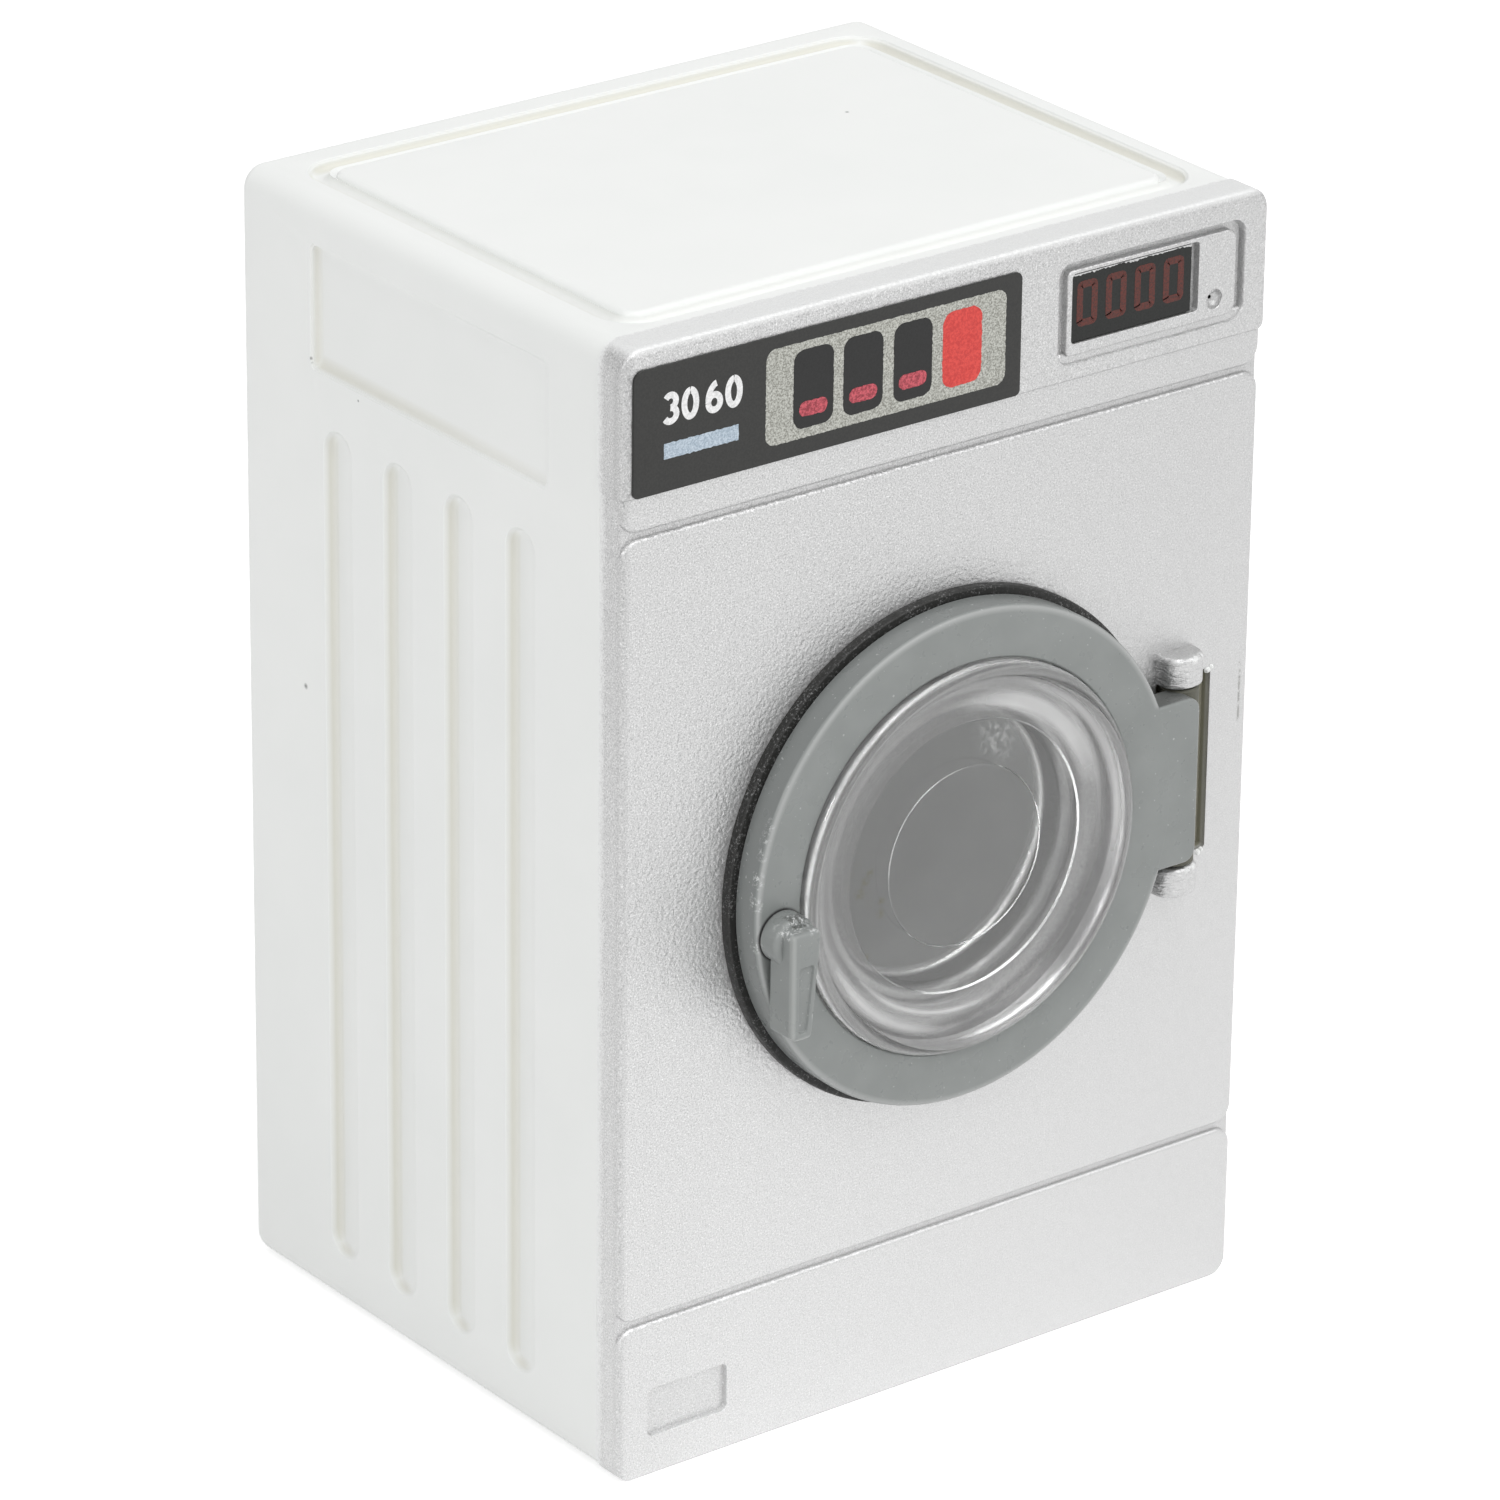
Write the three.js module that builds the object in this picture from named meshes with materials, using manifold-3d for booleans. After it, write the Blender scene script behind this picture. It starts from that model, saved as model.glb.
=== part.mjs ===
// Dollhouse washer dryer: a moulded cabinet with a silver front, a drum behind a round door,
// a door that swings on a steel pin, and a handle that turns on the door.
// Millimetres, +Z up. The front faces -Y, and the origin is the middle of the base.

import * as THREE from 'three';
import { mergeVertices } from 'three/addons/utils/BufferGeometryUtils.js';
import Module from 'manifold-3d';

const wasm = await Module();
wasm.setup();

// Driving sizes: the whole cabinet
const CABINET_WIDTH = 39.3;
const CABINET_DEPTH = 32.1;
const CABINET_HEIGHT = 60;
const PANEL_THICKNESS = 1.95;
const WALL = 1.5;
const FACE = -CABINET_DEPTH / 2;
const BACK = CABINET_DEPTH / 2;
const PANEL_REAR = FACE + PANEL_THICKNESS;

// Running and seating clearances
const RUNNING_GAP = 0.05;
const SEAT_GAP = 0.1;
const END_PLAY = 0.25;

// Front panel: the fascia stands a little proud and a little wide of the plates below it
const FASCIA_OVERHANG = 0.15;
const FASCIA_PROUD = 0.15;
const FASCIA_HEIGHT = 7.58;
const FASCIA_CORNER = 1.2;
const FASCIA_WIDTH = CABINET_WIDTH + 2 * FASCIA_OVERHANG;
const FASCIA_SIDE = FASCIA_WIDTH / 2;
const FASCIA_BOTTOM = CABINET_HEIGHT - FASCIA_HEIGHT;
const PLATE_FACE = FACE + FASCIA_PROUD;
const SEAM_DEPTH = 0.35;
const SEAM_WIDTH = 0.4;
const UPPER_SEAM_DROP = 9.52;
const UPPER_SEAM = CABINET_HEIGHT - UPPER_SEAM_DROP;
const LOWER_SEAM = 8.67;
const PLATE_CORNER = 1.0;
const EDGE_ROUND = 0.35;
const PLATE_SIDE_ROUND = 0.7;

// Control label, on the fascia
const CONTROL_LABEL_INSET = 0.6;
const CONTROL_LABEL_WIDTH = 23.33;
const CONTROL_LABEL_HEIGHT = 6.4;
const CONTROL_LABEL_DROP = 1.07;
const CONTROL_LABEL_LEFT = CONTROL_LABEL_INSET - FASCIA_SIDE;
const CONTROL_LABEL_TOP = CABINET_HEIGHT - CONTROL_LABEL_DROP;
const CONTROL_LABEL = {
  left: CONTROL_LABEL_LEFT, right: CONTROL_LABEL_LEFT + CONTROL_LABEL_WIDTH,
  bottom: CONTROL_LABEL_TOP - CONTROL_LABEL_HEIGHT, top: CONTROL_LABEL_TOP,
  corner: 0.4,
};
const LABEL_THICKNESS = 0.12;

// Display: a raised plate in a grooved frame, with a sunk label and a lamp dimple
const DISPLAY_WIDTH = 11.81;
const DISPLAY_HEIGHT = 5.25;
const DISPLAY_INSET = 1.44;
const DISPLAY_DROP = 1.41;
const DISPLAY_GROOVE_SIDE = 0.55;
const DISPLAY_GROOVE_END = 0.4;
const DISPLAY_RIGHT = FASCIA_SIDE - DISPLAY_INSET;
const DISPLAY_TOP = CABINET_HEIGHT - DISPLAY_DROP;
const DISPLAY_FRAME = {
  left: DISPLAY_RIGHT - DISPLAY_WIDTH, right: DISPLAY_RIGHT,
  bottom: DISPLAY_TOP - DISPLAY_HEIGHT, top: DISPLAY_TOP, corner: 0.9,
};
const DISPLAY_PLATE = {
  left: DISPLAY_FRAME.left + DISPLAY_GROOVE_SIDE,
  right: DISPLAY_FRAME.right - DISPLAY_GROOVE_SIDE,
  bottom: DISPLAY_FRAME.bottom + DISPLAY_GROOVE_END,
  top: DISPLAY_FRAME.top - DISPLAY_GROOVE_END,
  corner: 0.7,
};
const DISPLAY_GROOVE_DEPTH = 0.45;
const DISPLAY_LABEL_WIDTH = 7.45;
const DISPLAY_LABEL_HEIGHT = 3.45;
const DISPLAY_POCKET_SIDE = 0.55;
const DISPLAY_POCKET_DROP = 0.34;
const DISPLAY_POCKET_GAP = 0.45;
const DISPLAY_POCKET_LEFT = DISPLAY_PLATE.left + DISPLAY_POCKET_SIDE;
const DISPLAY_POCKET_TOP = DISPLAY_PLATE.top - DISPLAY_POCKET_DROP;
const DISPLAY_POCKET = {
  left: DISPLAY_POCKET_LEFT,
  right: DISPLAY_POCKET_LEFT + SEAT_GAP + DISPLAY_LABEL_WIDTH + DISPLAY_POCKET_GAP,
  bottom: DISPLAY_POCKET_TOP - DISPLAY_LABEL_HEIGHT - 2 * SEAT_GAP,
  top: DISPLAY_POCKET_TOP,
  corner: 0.3,
};
const DISPLAY_POCKET_DEPTH = 0.5;
const LAMP_RADIUS = 0.4;
const LAMP_DEPTH = 0.4;
const LAMP_INSET = 1.35;
const LAMP_RISE = 1.0;
const LAMP_X = DISPLAY_PLATE.right - LAMP_INSET;
const LAMP_Z = DISPLAY_PLATE.bottom + LAMP_RISE;

// Filter hatch recess, low on the left
const HATCH_INSET = 1.85;
const HATCH_RISE = 2.2;
const HATCH_WIDTH = 4.9;
const HATCH_HEIGHT = 2.6;
const HATCH_LEFT = HATCH_INSET - CABINET_WIDTH / 2;
const HATCH = {
  left: HATCH_LEFT, right: HATCH_LEFT + HATCH_WIDTH,
  bottom: HATCH_RISE, top: HATCH_RISE + HATCH_HEIGHT, corner: 0.4,
};
const HATCH_DEPTH = 0.55;
const HATCH_WALL_RUN = 0.3;

// Side walls: one wide recess over four upright slots, set out from the front and the top
const SIDE_RECESS_FRONT = 6.03;
const SIDE_RECESS_REAR_MARGIN = 6.25;
const SIDE_RECESS_DROP = 2.23;
const SIDE_RECESS_HEIGHT = 6.64;
const SIDE_RECESS_TOP = CABINET_HEIGHT - SIDE_RECESS_DROP;
const SIDE_RECESS = {
  front: SIDE_RECESS_FRONT, rear: CABINET_DEPTH - SIDE_RECESS_REAR_MARGIN,
  bottom: SIDE_RECESS_TOP - SIDE_RECESS_HEIGHT, top: SIDE_RECESS_TOP, corner: 0.4,
};
const SIDE_RECESS_DEPTH = 0.5;
const SLOT_COUNT = 4;
const SLOT_WIDTH = 2.46;
const SLOT_BOTTOM = 3.0;
const SLOT_MARGIN = 2.7;
const SLOT_TOP = SIDE_RECESS.bottom - SLOT_MARGIN;
const SLOT_DEPTH = 0.6;
const SLOT_INSET = 2.26;
const FIRST_SLOT = SIDE_RECESS.front + SLOT_INSET;
const LAST_SLOT = SIDE_RECESS.rear - SLOT_INSET;
const SLOT_PITCH = (LAST_SLOT - FIRST_SLOT) / (SLOT_COUNT - 1);

// Top: a raised panel inside a groove
const TOP_PANEL_SIDE_MARGIN = 3.2;
const TOP_PANEL_FRONT = 3.95;
const TOP_PANEL_REAR_MARGIN = 3.45;
const TOP_PANEL_SIDE = CABINET_WIDTH / 2 - TOP_PANEL_SIDE_MARGIN;
const TOP_PANEL = {
  left: -TOP_PANEL_SIDE, right: TOP_PANEL_SIDE,
  front: TOP_PANEL_FRONT, rear: CABINET_DEPTH - TOP_PANEL_REAR_MARGIN, corner: 1.5,
};
const TOP_GROOVE_WIDTH = 1.4;
const TOP_GROOVE_DEPTH = 0.6;
const SHELL_TOP_ROUND = 1.25;
const SHELL_BACK_ROUND = 0.8;

// Bosses in the corners of the shell: pegs of the front panel press into the front ones,
// and the screws of the rear cover bite in the rear ones
const BOSS_SIDE = 4.2;
const BOSS_ROOT = 0.75;
const BOSS_LENGTH = 8;
const BOSS_HOLE_DEPTH = 6;
const PEG_RADIUS = 0.9;
const PEG_LENGTH = 4;
const SCREW_PILOT_RADIUS = 0.55;
const SCREW_SHANK_RADIUS = 0.5;
const SCREW_SHANK_LENGTH = 5;
const SCREW_HEAD_RADIUS = 1.3;
const SCREW_HEAD_HEIGHT = 0.7;
const SCREW_RECESS = 0.9;
const CROSS_REACH = 0.6;
const CROSS_BLADE = 0.15;
const HEAD_EASE = 1 / 3;

// Rear cover, let in flush between the walls
const COVER_THICKNESS = 1.5;
const COVER_CORNER = 0.6;
const COVER_FRONT = BACK - COVER_THICKNESS;

// Door: a ring on a black seal, with a clear window pressed into it
const DOOR_X = 0;
const DOOR_DROP = 0.28;
const DOOR_Z = CABINET_HEIGHT / 2 - DOOR_DROP;
const RING_RADIUS = 13.1;
const RING_BORE = 10.38;
const RING_PROUD = 2.03;
const SEAL_PROUD = 0.38;
const SEAL_SHOW = 0.43;
const SEAL_RADIUS = RING_RADIUS + SEAL_SHOW;
const SEAL_BORE = RING_BORE + SEAT_GAP;
const SEAL_FRONT = FACE - SEAL_PROUD;
const RING_REAR = SEAL_FRONT - RUNNING_GAP;
const RING_FRONT = FACE - RING_PROUD;
const RING_ROUND = 0.35;
const RING_EASE = 0.15;
const WINDOW_PROUD = 0.5;
const WINDOW_RIM_WIDTH = 3.2;
const WINDOW_DISC_RADIUS = RING_BORE - WINDOW_RIM_WIDTH;
const WINDOW_DISC_SINK = 0.3;
const WINDOW_THICKNESS = 1.1;
const WINDOW_LIP_WIDTH = 0.3;
const WINDOW_LIP_HEIGHT = 0.2;
const WINDOW_DISH = 0.1;
const WINDOW_REAR_EASE = 0.4;

// Door opening through the panel
const OPENING_MARGIN = 0.25;
const OPENING_RADIUS = WINDOW_DISC_RADIUS + OPENING_MARGIN;
const OPENING_FLARE = 0.4;

// Hinge: two half-round knuckles on the panel and a barrel behind the ring's tab, on a wire pin
const HINGE_OFFSET = 1.69;
const HINGE_X = DOOR_X + RING_RADIUS + HINGE_OFFSET;
const HINGE_PROUD = 0.28;
const HINGE_Y = FACE - HINGE_PROUD;
const HINGE_RISE = 0.4;
const HINGE_Z = DOOR_Z + HINGE_RISE;
const KNUCKLE_RADIUS = 1.24;
const KNUCKLE_PROUD = 0.05;
const KNUCKLE_Y = FACE - KNUCKLE_PROUD;
const KNUCKLE_HEIGHT = 1.62;
const TAB_HEIGHT = 8.95;
const TAB_PLAY_BELOW = 0.73;
const TAB_PLAY_ABOVE = 0.18;
const TAB_BOTTOM = HINGE_Z - TAB_HEIGHT / 2;
const TAB_TOP = HINGE_Z + TAB_HEIGHT / 2;
const TAB_SHORT = 0.05;
const TAB_CORNER = 0.7;
const BARREL_RADIUS = 1.0;
const LOWER_KNUCKLE = {
  bottom: TAB_BOTTOM - TAB_PLAY_BELOW - KNUCKLE_HEIGHT, top: TAB_BOTTOM - TAB_PLAY_BELOW,
};
const UPPER_KNUCKLE = {
  bottom: TAB_TOP + TAB_PLAY_ABOVE, top: TAB_TOP + TAB_PLAY_ABOVE + KNUCKLE_HEIGHT,
};
const PIN_RADIUS = 0.35;
const PIN_COVER = 0.5;
const HINGE_SLOT_INNER = 1.1;
const HINGE_SLOT_OUTER = 2.2;
const HINGE_SLOT_LEFT = HINGE_X - HINGE_SLOT_INNER;
const HINGE_SLOT_RIGHT = HINGE_X + HINGE_SLOT_OUTER;

// Handle: a boss on the ring face, a tapered arm that hangs from it, a headed peg behind
const HANDLE_INSET = 1.53;
const HANDLE_LOWER = 0.99;
const HANDLE_X = DOOR_X - RING_RADIUS + HANDLE_INSET;
const HANDLE_Z = DOOR_Z - HANDLE_LOWER;
const HANDLE_BOSS_RADIUS = 1.3;
const HANDLE_BOSS_LENGTH = 1.3;
const HANDLE_PEG_RADIUS = 0.55;
const HANDLE_HEAD_RADIUS = 0.8;
const HANDLE_HEAD_HEIGHT = 0.4;
const ARM_STANDOFF = 0.35;
const ARM_FRONT = 2.2;
const ARM_RISE = 0.9;
const ARM_DROP = 4.8;
const ARM_TOP_WIDTH = 1.75;
const ARM_BOTTOM_WIDTH = 1.2;
const ARM_RECESS = 0.15;
const ARM_TIP = 0.4;
const ARM_RECESS_DROP = ARM_DROP - ARM_TIP;
const ARM_RECESS_SIDE = ARM_TOP_WIDTH / 4;

// Drum: a cup with three lifters, on a spindle that runs in the rear cover
const DRUM_STANDOFF = 0.3;
const DRUM_FRONT = PANEL_REAR + DRUM_STANDOFF;
const DRUM_LENGTH = 20;
const DRUM_REAR = DRUM_FRONT + DRUM_LENGTH;
const DRUM_RADIUS = 12.5;
const DRUM_WALL = 1.1;
const DRUM_MOUTH_MARGIN = 0.7;
const DRUM_MOUTH_RADIUS = OPENING_RADIUS + DRUM_MOUTH_MARGIN;
const LIFTER_COUNT = 3;
const LIFTER_HEIGHT = 2;
const LIFTER_THICKNESS = 1.4;
const LIFTER_FIRST_ANGLE = Math.PI / 2;
const SPINDLE_RADIUS = 1.5;
const BEARING_RADIUS = 4;
const BEARING_RECESS_RADIUS = 3;
const BEARING_RECESS_DEPTH = 2.2;
const WASHER_RADIUS = 2.4;
const WASHER_THICKNESS = 0.4;
const AXLE_SHANK_RADIUS = 0.6;
const AXLE_SHANK_LENGTH = 5;
const AXLE_HEAD_RADIUS = 1.5;
const AXLE_HEAD_HEIGHT = 0.9;

// How finely round shapes are cut
const FINE = 64;
const MEDIUM = 32;
const SMALL = 16;
const CORNER_STEPS = 2;
const EDGE_STEPS = 3;
const ROUND_STEPS = 4;
const CUT_MARGIN = 1;

// A closed geometry as a solid that can be joined and cut
function solid(geometry) {
  const bare = geometry.clone();
  bare.deleteAttribute('normal');
  bare.deleteAttribute('uv');
  const merged = mergeVertices(bare, 1e-4);
  const vertProperties = new Float32Array(merged.attributes.position.array);
  const triVerts = new Uint32Array(merged.index.array);
  return new wasm.Manifold(new wasm.Mesh({ numProp: 3, vertProperties, triVerts }));
}

// The named mesh of a finished solid
function piece(name, manifold, colour, roughness, metalness) {
  const result = manifold.getMesh();
  const geometry = new THREE.BufferGeometry();
  geometry.setAttribute('position', new THREE.BufferAttribute(result.vertProperties, 3));
  geometry.setIndex(new THREE.BufferAttribute(result.triVerts, 1));
  geometry.computeVertexNormals();
  const material = new THREE.MeshStandardMaterial({ color: colour, roughness, metalness });
  const mesh = new THREE.Mesh(geometry, material);
  mesh.name = name;
  return mesh;
}

// An upright rectangle with round corners, in X and Z
function roundedRectangle({ left, right, bottom, top, corner }) {
  const shape = new THREE.Shape();
  shape.absarc(right - corner, top - corner, corner, 0, Math.PI / 2);
  shape.absarc(left + corner, top - corner, corner, Math.PI / 2, Math.PI);
  shape.absarc(left + corner, bottom + corner, corner, Math.PI, 1.5 * Math.PI);
  shape.absarc(right - corner, bottom + corner, corner, 1.5 * Math.PI, 2 * Math.PI);
  shape.closePath();
  return shape;
}

// An outline in X and Z run back from one depth to another
function slab(shape, front, rear, steps = CORNER_STEPS) {
  const geometry = new THREE.ExtrudeGeometry(shape, {
    depth: rear - front, bevelEnabled: false, curveSegments: steps,
  });
  geometry.rotateX(Math.PI / 2);
  geometry.translate(0, rear, 0);
  return solid(geometry);
}

// The same with its front and rear edges rounded, wide across the face and deep into it
function cushionedSlab(shape, front, rear, wide, deep, steps = CORNER_STEPS) {
  const geometry = new THREE.ExtrudeGeometry(shape, {
    depth: rear - front - 2 * deep,
    bevelEnabled: true,
    bevelThickness: deep,
    bevelSize: wide,
    bevelOffset: -wide,
    bevelSegments: EDGE_STEPS,
    curveSegments: steps,
  });
  geometry.rotateX(Math.PI / 2);
  geometry.translate(0, rear - deep, 0);
  return solid(geometry);
}

// A box between two corners
function block(x0, x1, y0, y1, z0, z1) {
  const geometry = new THREE.BoxGeometry(x1 - x0, y1 - y0, z1 - z0);
  geometry.translate((x0 + x1) / 2, (y0 + y1) / 2, (z0 + z1) / 2);
  return solid(geometry);
}

// A round bar along the depth
function bar(x, z, radius, front, rear, segments = SMALL) {
  const geometry = new THREE.CylinderGeometry(radius, radius, rear - front, segments);
  geometry.translate(x, (front + rear) / 2, z);
  return solid(geometry);
}

// A round bar that stands upright
function post(x, y, radius, bottom, top, segments = SMALL) {
  const geometry = new THREE.CylinderGeometry(radius, radius, top - bottom, segments);
  geometry.rotateX(Math.PI / 2);
  geometry.translate(x, y, (bottom + top) / 2);
  return solid(geometry);
}

// A ring or dish turned about the door's axis, from pairs of radius and depth
function turned(profile, segments = FINE) {
  const points = profile.map(([radius, depth]) => new THREE.Vector2(radius, depth));
  const geometry = new THREE.LatheGeometry(points, segments);
  geometry.translate(DOOR_X, 0, DOOR_Z);
  return solid(geometry);
}

// The quarter round of a turned profile, from its front round to its rim
function quarterRound(centreRadius, centreDepth, radius) {
  const points = [];
  for (let i = 0; i <= ROUND_STEPS; i += 1) {
    const angle = -Math.PI / 2 + Math.PI / 2 * i / ROUND_STEPS;
    points.push([centreRadius + radius * Math.cos(angle), centreDepth + radius * Math.sin(angle)]);
  }
  return points;
}

// The four corners where the bosses stand
function cornerPlaces() {
  const x = CABINET_WIDTH / 2 - WALL - BOSS_SIDE / 2;
  const low = WALL + BOSS_SIDE / 2;
  const high = CABINET_HEIGHT - WALL - BOSS_SIDE / 2;
  return [[-x, high], [x, high], [-x, low], [x, low]];
}

// Cabinet shell: four walls in one, open at the front and the back
function cabinetShell() {
  const half = CABINET_WIDTH / 2;
  const outline = roundedRectangle({
    left: -half, right: half, bottom: 0, top: CABINET_HEIGHT, corner: SHELL_TOP_ROUND,
  });
  const round = SHELL_BACK_ROUND;
  let shell = cushionedSlab(outline, PANEL_REAR - 2 * round, BACK, round, round);
  shell = shell.subtract(block(
    -half - CUT_MARGIN, half + CUT_MARGIN,
    PANEL_REAR - 2 * round - CUT_MARGIN, PANEL_REAR,
    -CUT_MARGIN, CABINET_HEIGHT + CUT_MARGIN));
  shell = shell.subtract(block(
    -half + WALL, half - WALL,
    PANEL_REAR - CUT_MARGIN, BACK + CUT_MARGIN,
    WALL, CABINET_HEIGHT - WALL));
  for (const [x, z] of cornerPlaces()) {
    shell = shell.add(cornerBoss(x, z, PANEL_REAR, PANEL_REAR + BOSS_LENGTH));
    shell = shell.add(cornerBoss(x, z, COVER_FRONT - BOSS_LENGTH, COVER_FRONT));
    shell = shell.subtract(bar(x, z, PEG_RADIUS + RUNNING_GAP,
      PANEL_REAR - CUT_MARGIN, PANEL_REAR + BOSS_HOLE_DEPTH));
    shell = shell.subtract(bar(x, z, SCREW_PILOT_RADIUS,
      COVER_FRONT - BOSS_HOLE_DEPTH, COVER_FRONT + CUT_MARGIN));
  }
  for (const side of [-1, 1]) {
    shell = shell.subtract(sideRecess(side));
    for (let i = 0; i < SLOT_COUNT; i += 1) {
      shell = shell.subtract(sideSlot(side, FACE + FIRST_SLOT + i * SLOT_PITCH));
    }
  }
  shell = shell.subtract(topGroove());
  return piece('cabinet_shell', shell, 0xeef0ee, 0.45, 0);
}

// One boss, sunk a little into the walls that it grows from
function cornerBoss(x, z, front, rear) {
  const reach = BOSS_SIDE / 2;
  const left = x < 0 ? x - reach - BOSS_ROOT : x - reach;
  const right = x < 0 ? x + reach : x + reach + BOSS_ROOT;
  const bottom = z < CABINET_HEIGHT / 2 ? z - reach - BOSS_ROOT : z - reach;
  const top = z < CABINET_HEIGHT / 2 ? z + reach : z + reach + BOSS_ROOT;
  return block(left, right, front, rear, bottom, top);
}

// An outline in Y and Z that cuts into a side wall
function sideCutter(side, shape, depth) {
  const geometry = new THREE.ExtrudeGeometry(shape, {
    depth: depth + CUT_MARGIN, bevelEnabled: false, curveSegments: CORNER_STEPS,
  });
  geometry.rotateX(Math.PI / 2);
  geometry.rotateZ(Math.PI / 2);
  const inner = CABINET_WIDTH / 2 - depth;
  geometry.translate(side > 0 ? inner : -inner - depth - CUT_MARGIN, 0, 0);
  return solid(geometry);
}

function sideRecess(side) {
  const { front, rear, bottom, top, corner } = SIDE_RECESS;
  const shape = roundedRectangle({ left: FACE + front, right: FACE + rear, bottom, top, corner });
  return sideCutter(side, shape, SIDE_RECESS_DEPTH);
}

function sideSlot(side, middle) {
  const shape = roundedRectangle({
    left: middle - SLOT_WIDTH / 2,
    right: middle + SLOT_WIDTH / 2,
    bottom: SLOT_BOTTOM,
    top: SLOT_TOP,
    corner: SLOT_WIDTH / 2 - RUNNING_GAP,
  });
  return sideCutter(side, shape, SLOT_DEPTH);
}

// The groove round the raised panel of the top
function topGroove() {
  const { left, right, front, rear, corner } = TOP_PANEL;
  const inner = { left, right, bottom: FACE + front, top: FACE + rear, corner };
  const wide = TOP_GROOVE_WIDTH;
  const outer = {
    left: left - wide, right: right + wide, bottom: FACE + front - wide, top: FACE + rear + wide, corner,
  };
  const band = roundedRectangle(outer);
  band.holes.push(roundedRectangle(inner));
  const geometry = new THREE.ExtrudeGeometry(band, {
    depth: TOP_GROOVE_DEPTH + CUT_MARGIN, bevelEnabled: false, curveSegments: CORNER_STEPS,
  });
  geometry.translate(0, 0, CABINET_HEIGHT - TOP_GROOVE_DEPTH);
  return solid(geometry);
}

// Front panel: a thin base plate with the fascia and two cushioned plates raised on it
function frontPanel() {
  const half = CABINET_WIDTH / 2;
  const base = roundedRectangle({
    left: -half, right: half, bottom: 0, top: CABINET_HEIGHT, corner: FASCIA_CORNER,
  });
  const floor = PLATE_FACE + SEAM_DEPTH;
  let panel = slab(base, floor, PANEL_REAR);
  const plates = [
    { bottom: 0, top: LOWER_SEAM - SEAM_WIDTH / 2 },
    { bottom: LOWER_SEAM + SEAM_WIDTH / 2, top: UPPER_SEAM - SEAM_WIDTH / 2 },
    { bottom: UPPER_SEAM + SEAM_WIDTH / 2, top: CABINET_HEIGHT - FASCIA_CORNER },
  ];
  for (const { bottom, top } of plates) {
    const outline = roundedRectangle({ left: -half, right: half, bottom, top, corner: PLATE_CORNER });
    panel = panel.add(cushionedSlab(outline, PLATE_FACE, PANEL_REAR, PLATE_SIDE_ROUND, EDGE_ROUND));
  }
  const fascia = roundedRectangle({
    left: -FASCIA_SIDE, right: FASCIA_SIDE,
    bottom: FASCIA_BOTTOM, top: CABINET_HEIGHT, corner: FASCIA_CORNER,
  });
  panel = panel.add(cushionedSlab(fascia, FACE, PANEL_REAR, EDGE_ROUND, EDGE_ROUND));
  panel = panel.add(knuckle(LOWER_KNUCKLE)).add(knuckle(UPPER_KNUCKLE));
  panel = panel.subtract(post(HINGE_X, HINGE_Y, PIN_RADIUS + RUNNING_GAP,
    LOWER_KNUCKLE.bottom - CUT_MARGIN, UPPER_KNUCKLE.top - PIN_COVER));
  panel = panel.subtract(block(
    HINGE_SLOT_LEFT, HINGE_SLOT_RIGHT,
    FACE - CUT_MARGIN, PANEL_REAR + CUT_MARGIN,
    LOWER_KNUCKLE.top, UPPER_KNUCKLE.bottom));
  panel = panel.subtract(turned([
    [0, FACE - CUT_MARGIN],
    [OPENING_RADIUS + OPENING_FLARE, FACE - CUT_MARGIN],
    [OPENING_RADIUS + OPENING_FLARE, PLATE_FACE],
    [OPENING_RADIUS, PLATE_FACE + OPENING_FLARE],
    [OPENING_RADIUS, PANEL_REAR + CUT_MARGIN],
    [0, PANEL_REAR + CUT_MARGIN],
  ]));
  panel = panel.subtract(displayCuts()).subtract(hatchCut());
  for (const [x, z] of cornerPlaces()) {
    panel = panel.add(bar(x, z, PEG_RADIUS, PANEL_REAR - BOSS_ROOT, PANEL_REAR + PEG_LENGTH));
  }
  return piece('front_panel', panel, 0xc4c6c6, 0.35, 0.75);
}

// A half-round knuckle that grows out of the panel
function knuckle({ bottom, top }) {
  const root = block(HINGE_X - KNUCKLE_RADIUS, HINGE_X + KNUCKLE_RADIUS,
    KNUCKLE_Y, PANEL_REAR, bottom, top);
  return root.add(post(HINGE_X, KNUCKLE_Y, KNUCKLE_RADIUS, bottom, top, MEDIUM));
}

function displayCuts() {
  const frame = roundedRectangle(DISPLAY_FRAME);
  frame.holes.push(roundedRectangle(DISPLAY_PLATE));
  const groove = slab(frame, FACE - CUT_MARGIN, FACE + DISPLAY_GROOVE_DEPTH);
  const pocket = slab(roundedRectangle(DISPLAY_POCKET),
    FACE - CUT_MARGIN, FACE + DISPLAY_POCKET_DEPTH);
  const lamp = bar(LAMP_X, LAMP_Z, LAMP_RADIUS, FACE - CUT_MARGIN, FACE + LAMP_DEPTH);
  return groove.add(pocket).add(lamp);
}

// The hatch recess, with sloping walls
function hatchCut() {
  const deep = HATCH_DEPTH;
  return cushionedSlab(roundedRectangle(HATCH),
    PLATE_FACE - deep, PLATE_FACE + deep, HATCH_WALL_RUN, deep, 1);
}

function controlLabel() {
  const label = slab(roundedRectangle(CONTROL_LABEL), FACE - LABEL_THICKNESS, FACE);
  return piece('control_label', label, 0x3c3c3b, 0.3, 0);
}

function displayLabel() {
  const middle = (DISPLAY_POCKET.bottom + DISPLAY_POCKET.top) / 2;
  const left = DISPLAY_POCKET.left + SEAT_GAP;
  const floor = FACE + DISPLAY_POCKET_DEPTH;
  const label = block(left, left + DISPLAY_LABEL_WIDTH,
    floor - LABEL_THICKNESS, floor,
    middle - DISPLAY_LABEL_HEIGHT / 2, middle + DISPLAY_LABEL_HEIGHT / 2);
  return piece('display_label', label, 0x2d2c2a, 0.35, 0);
}

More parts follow.
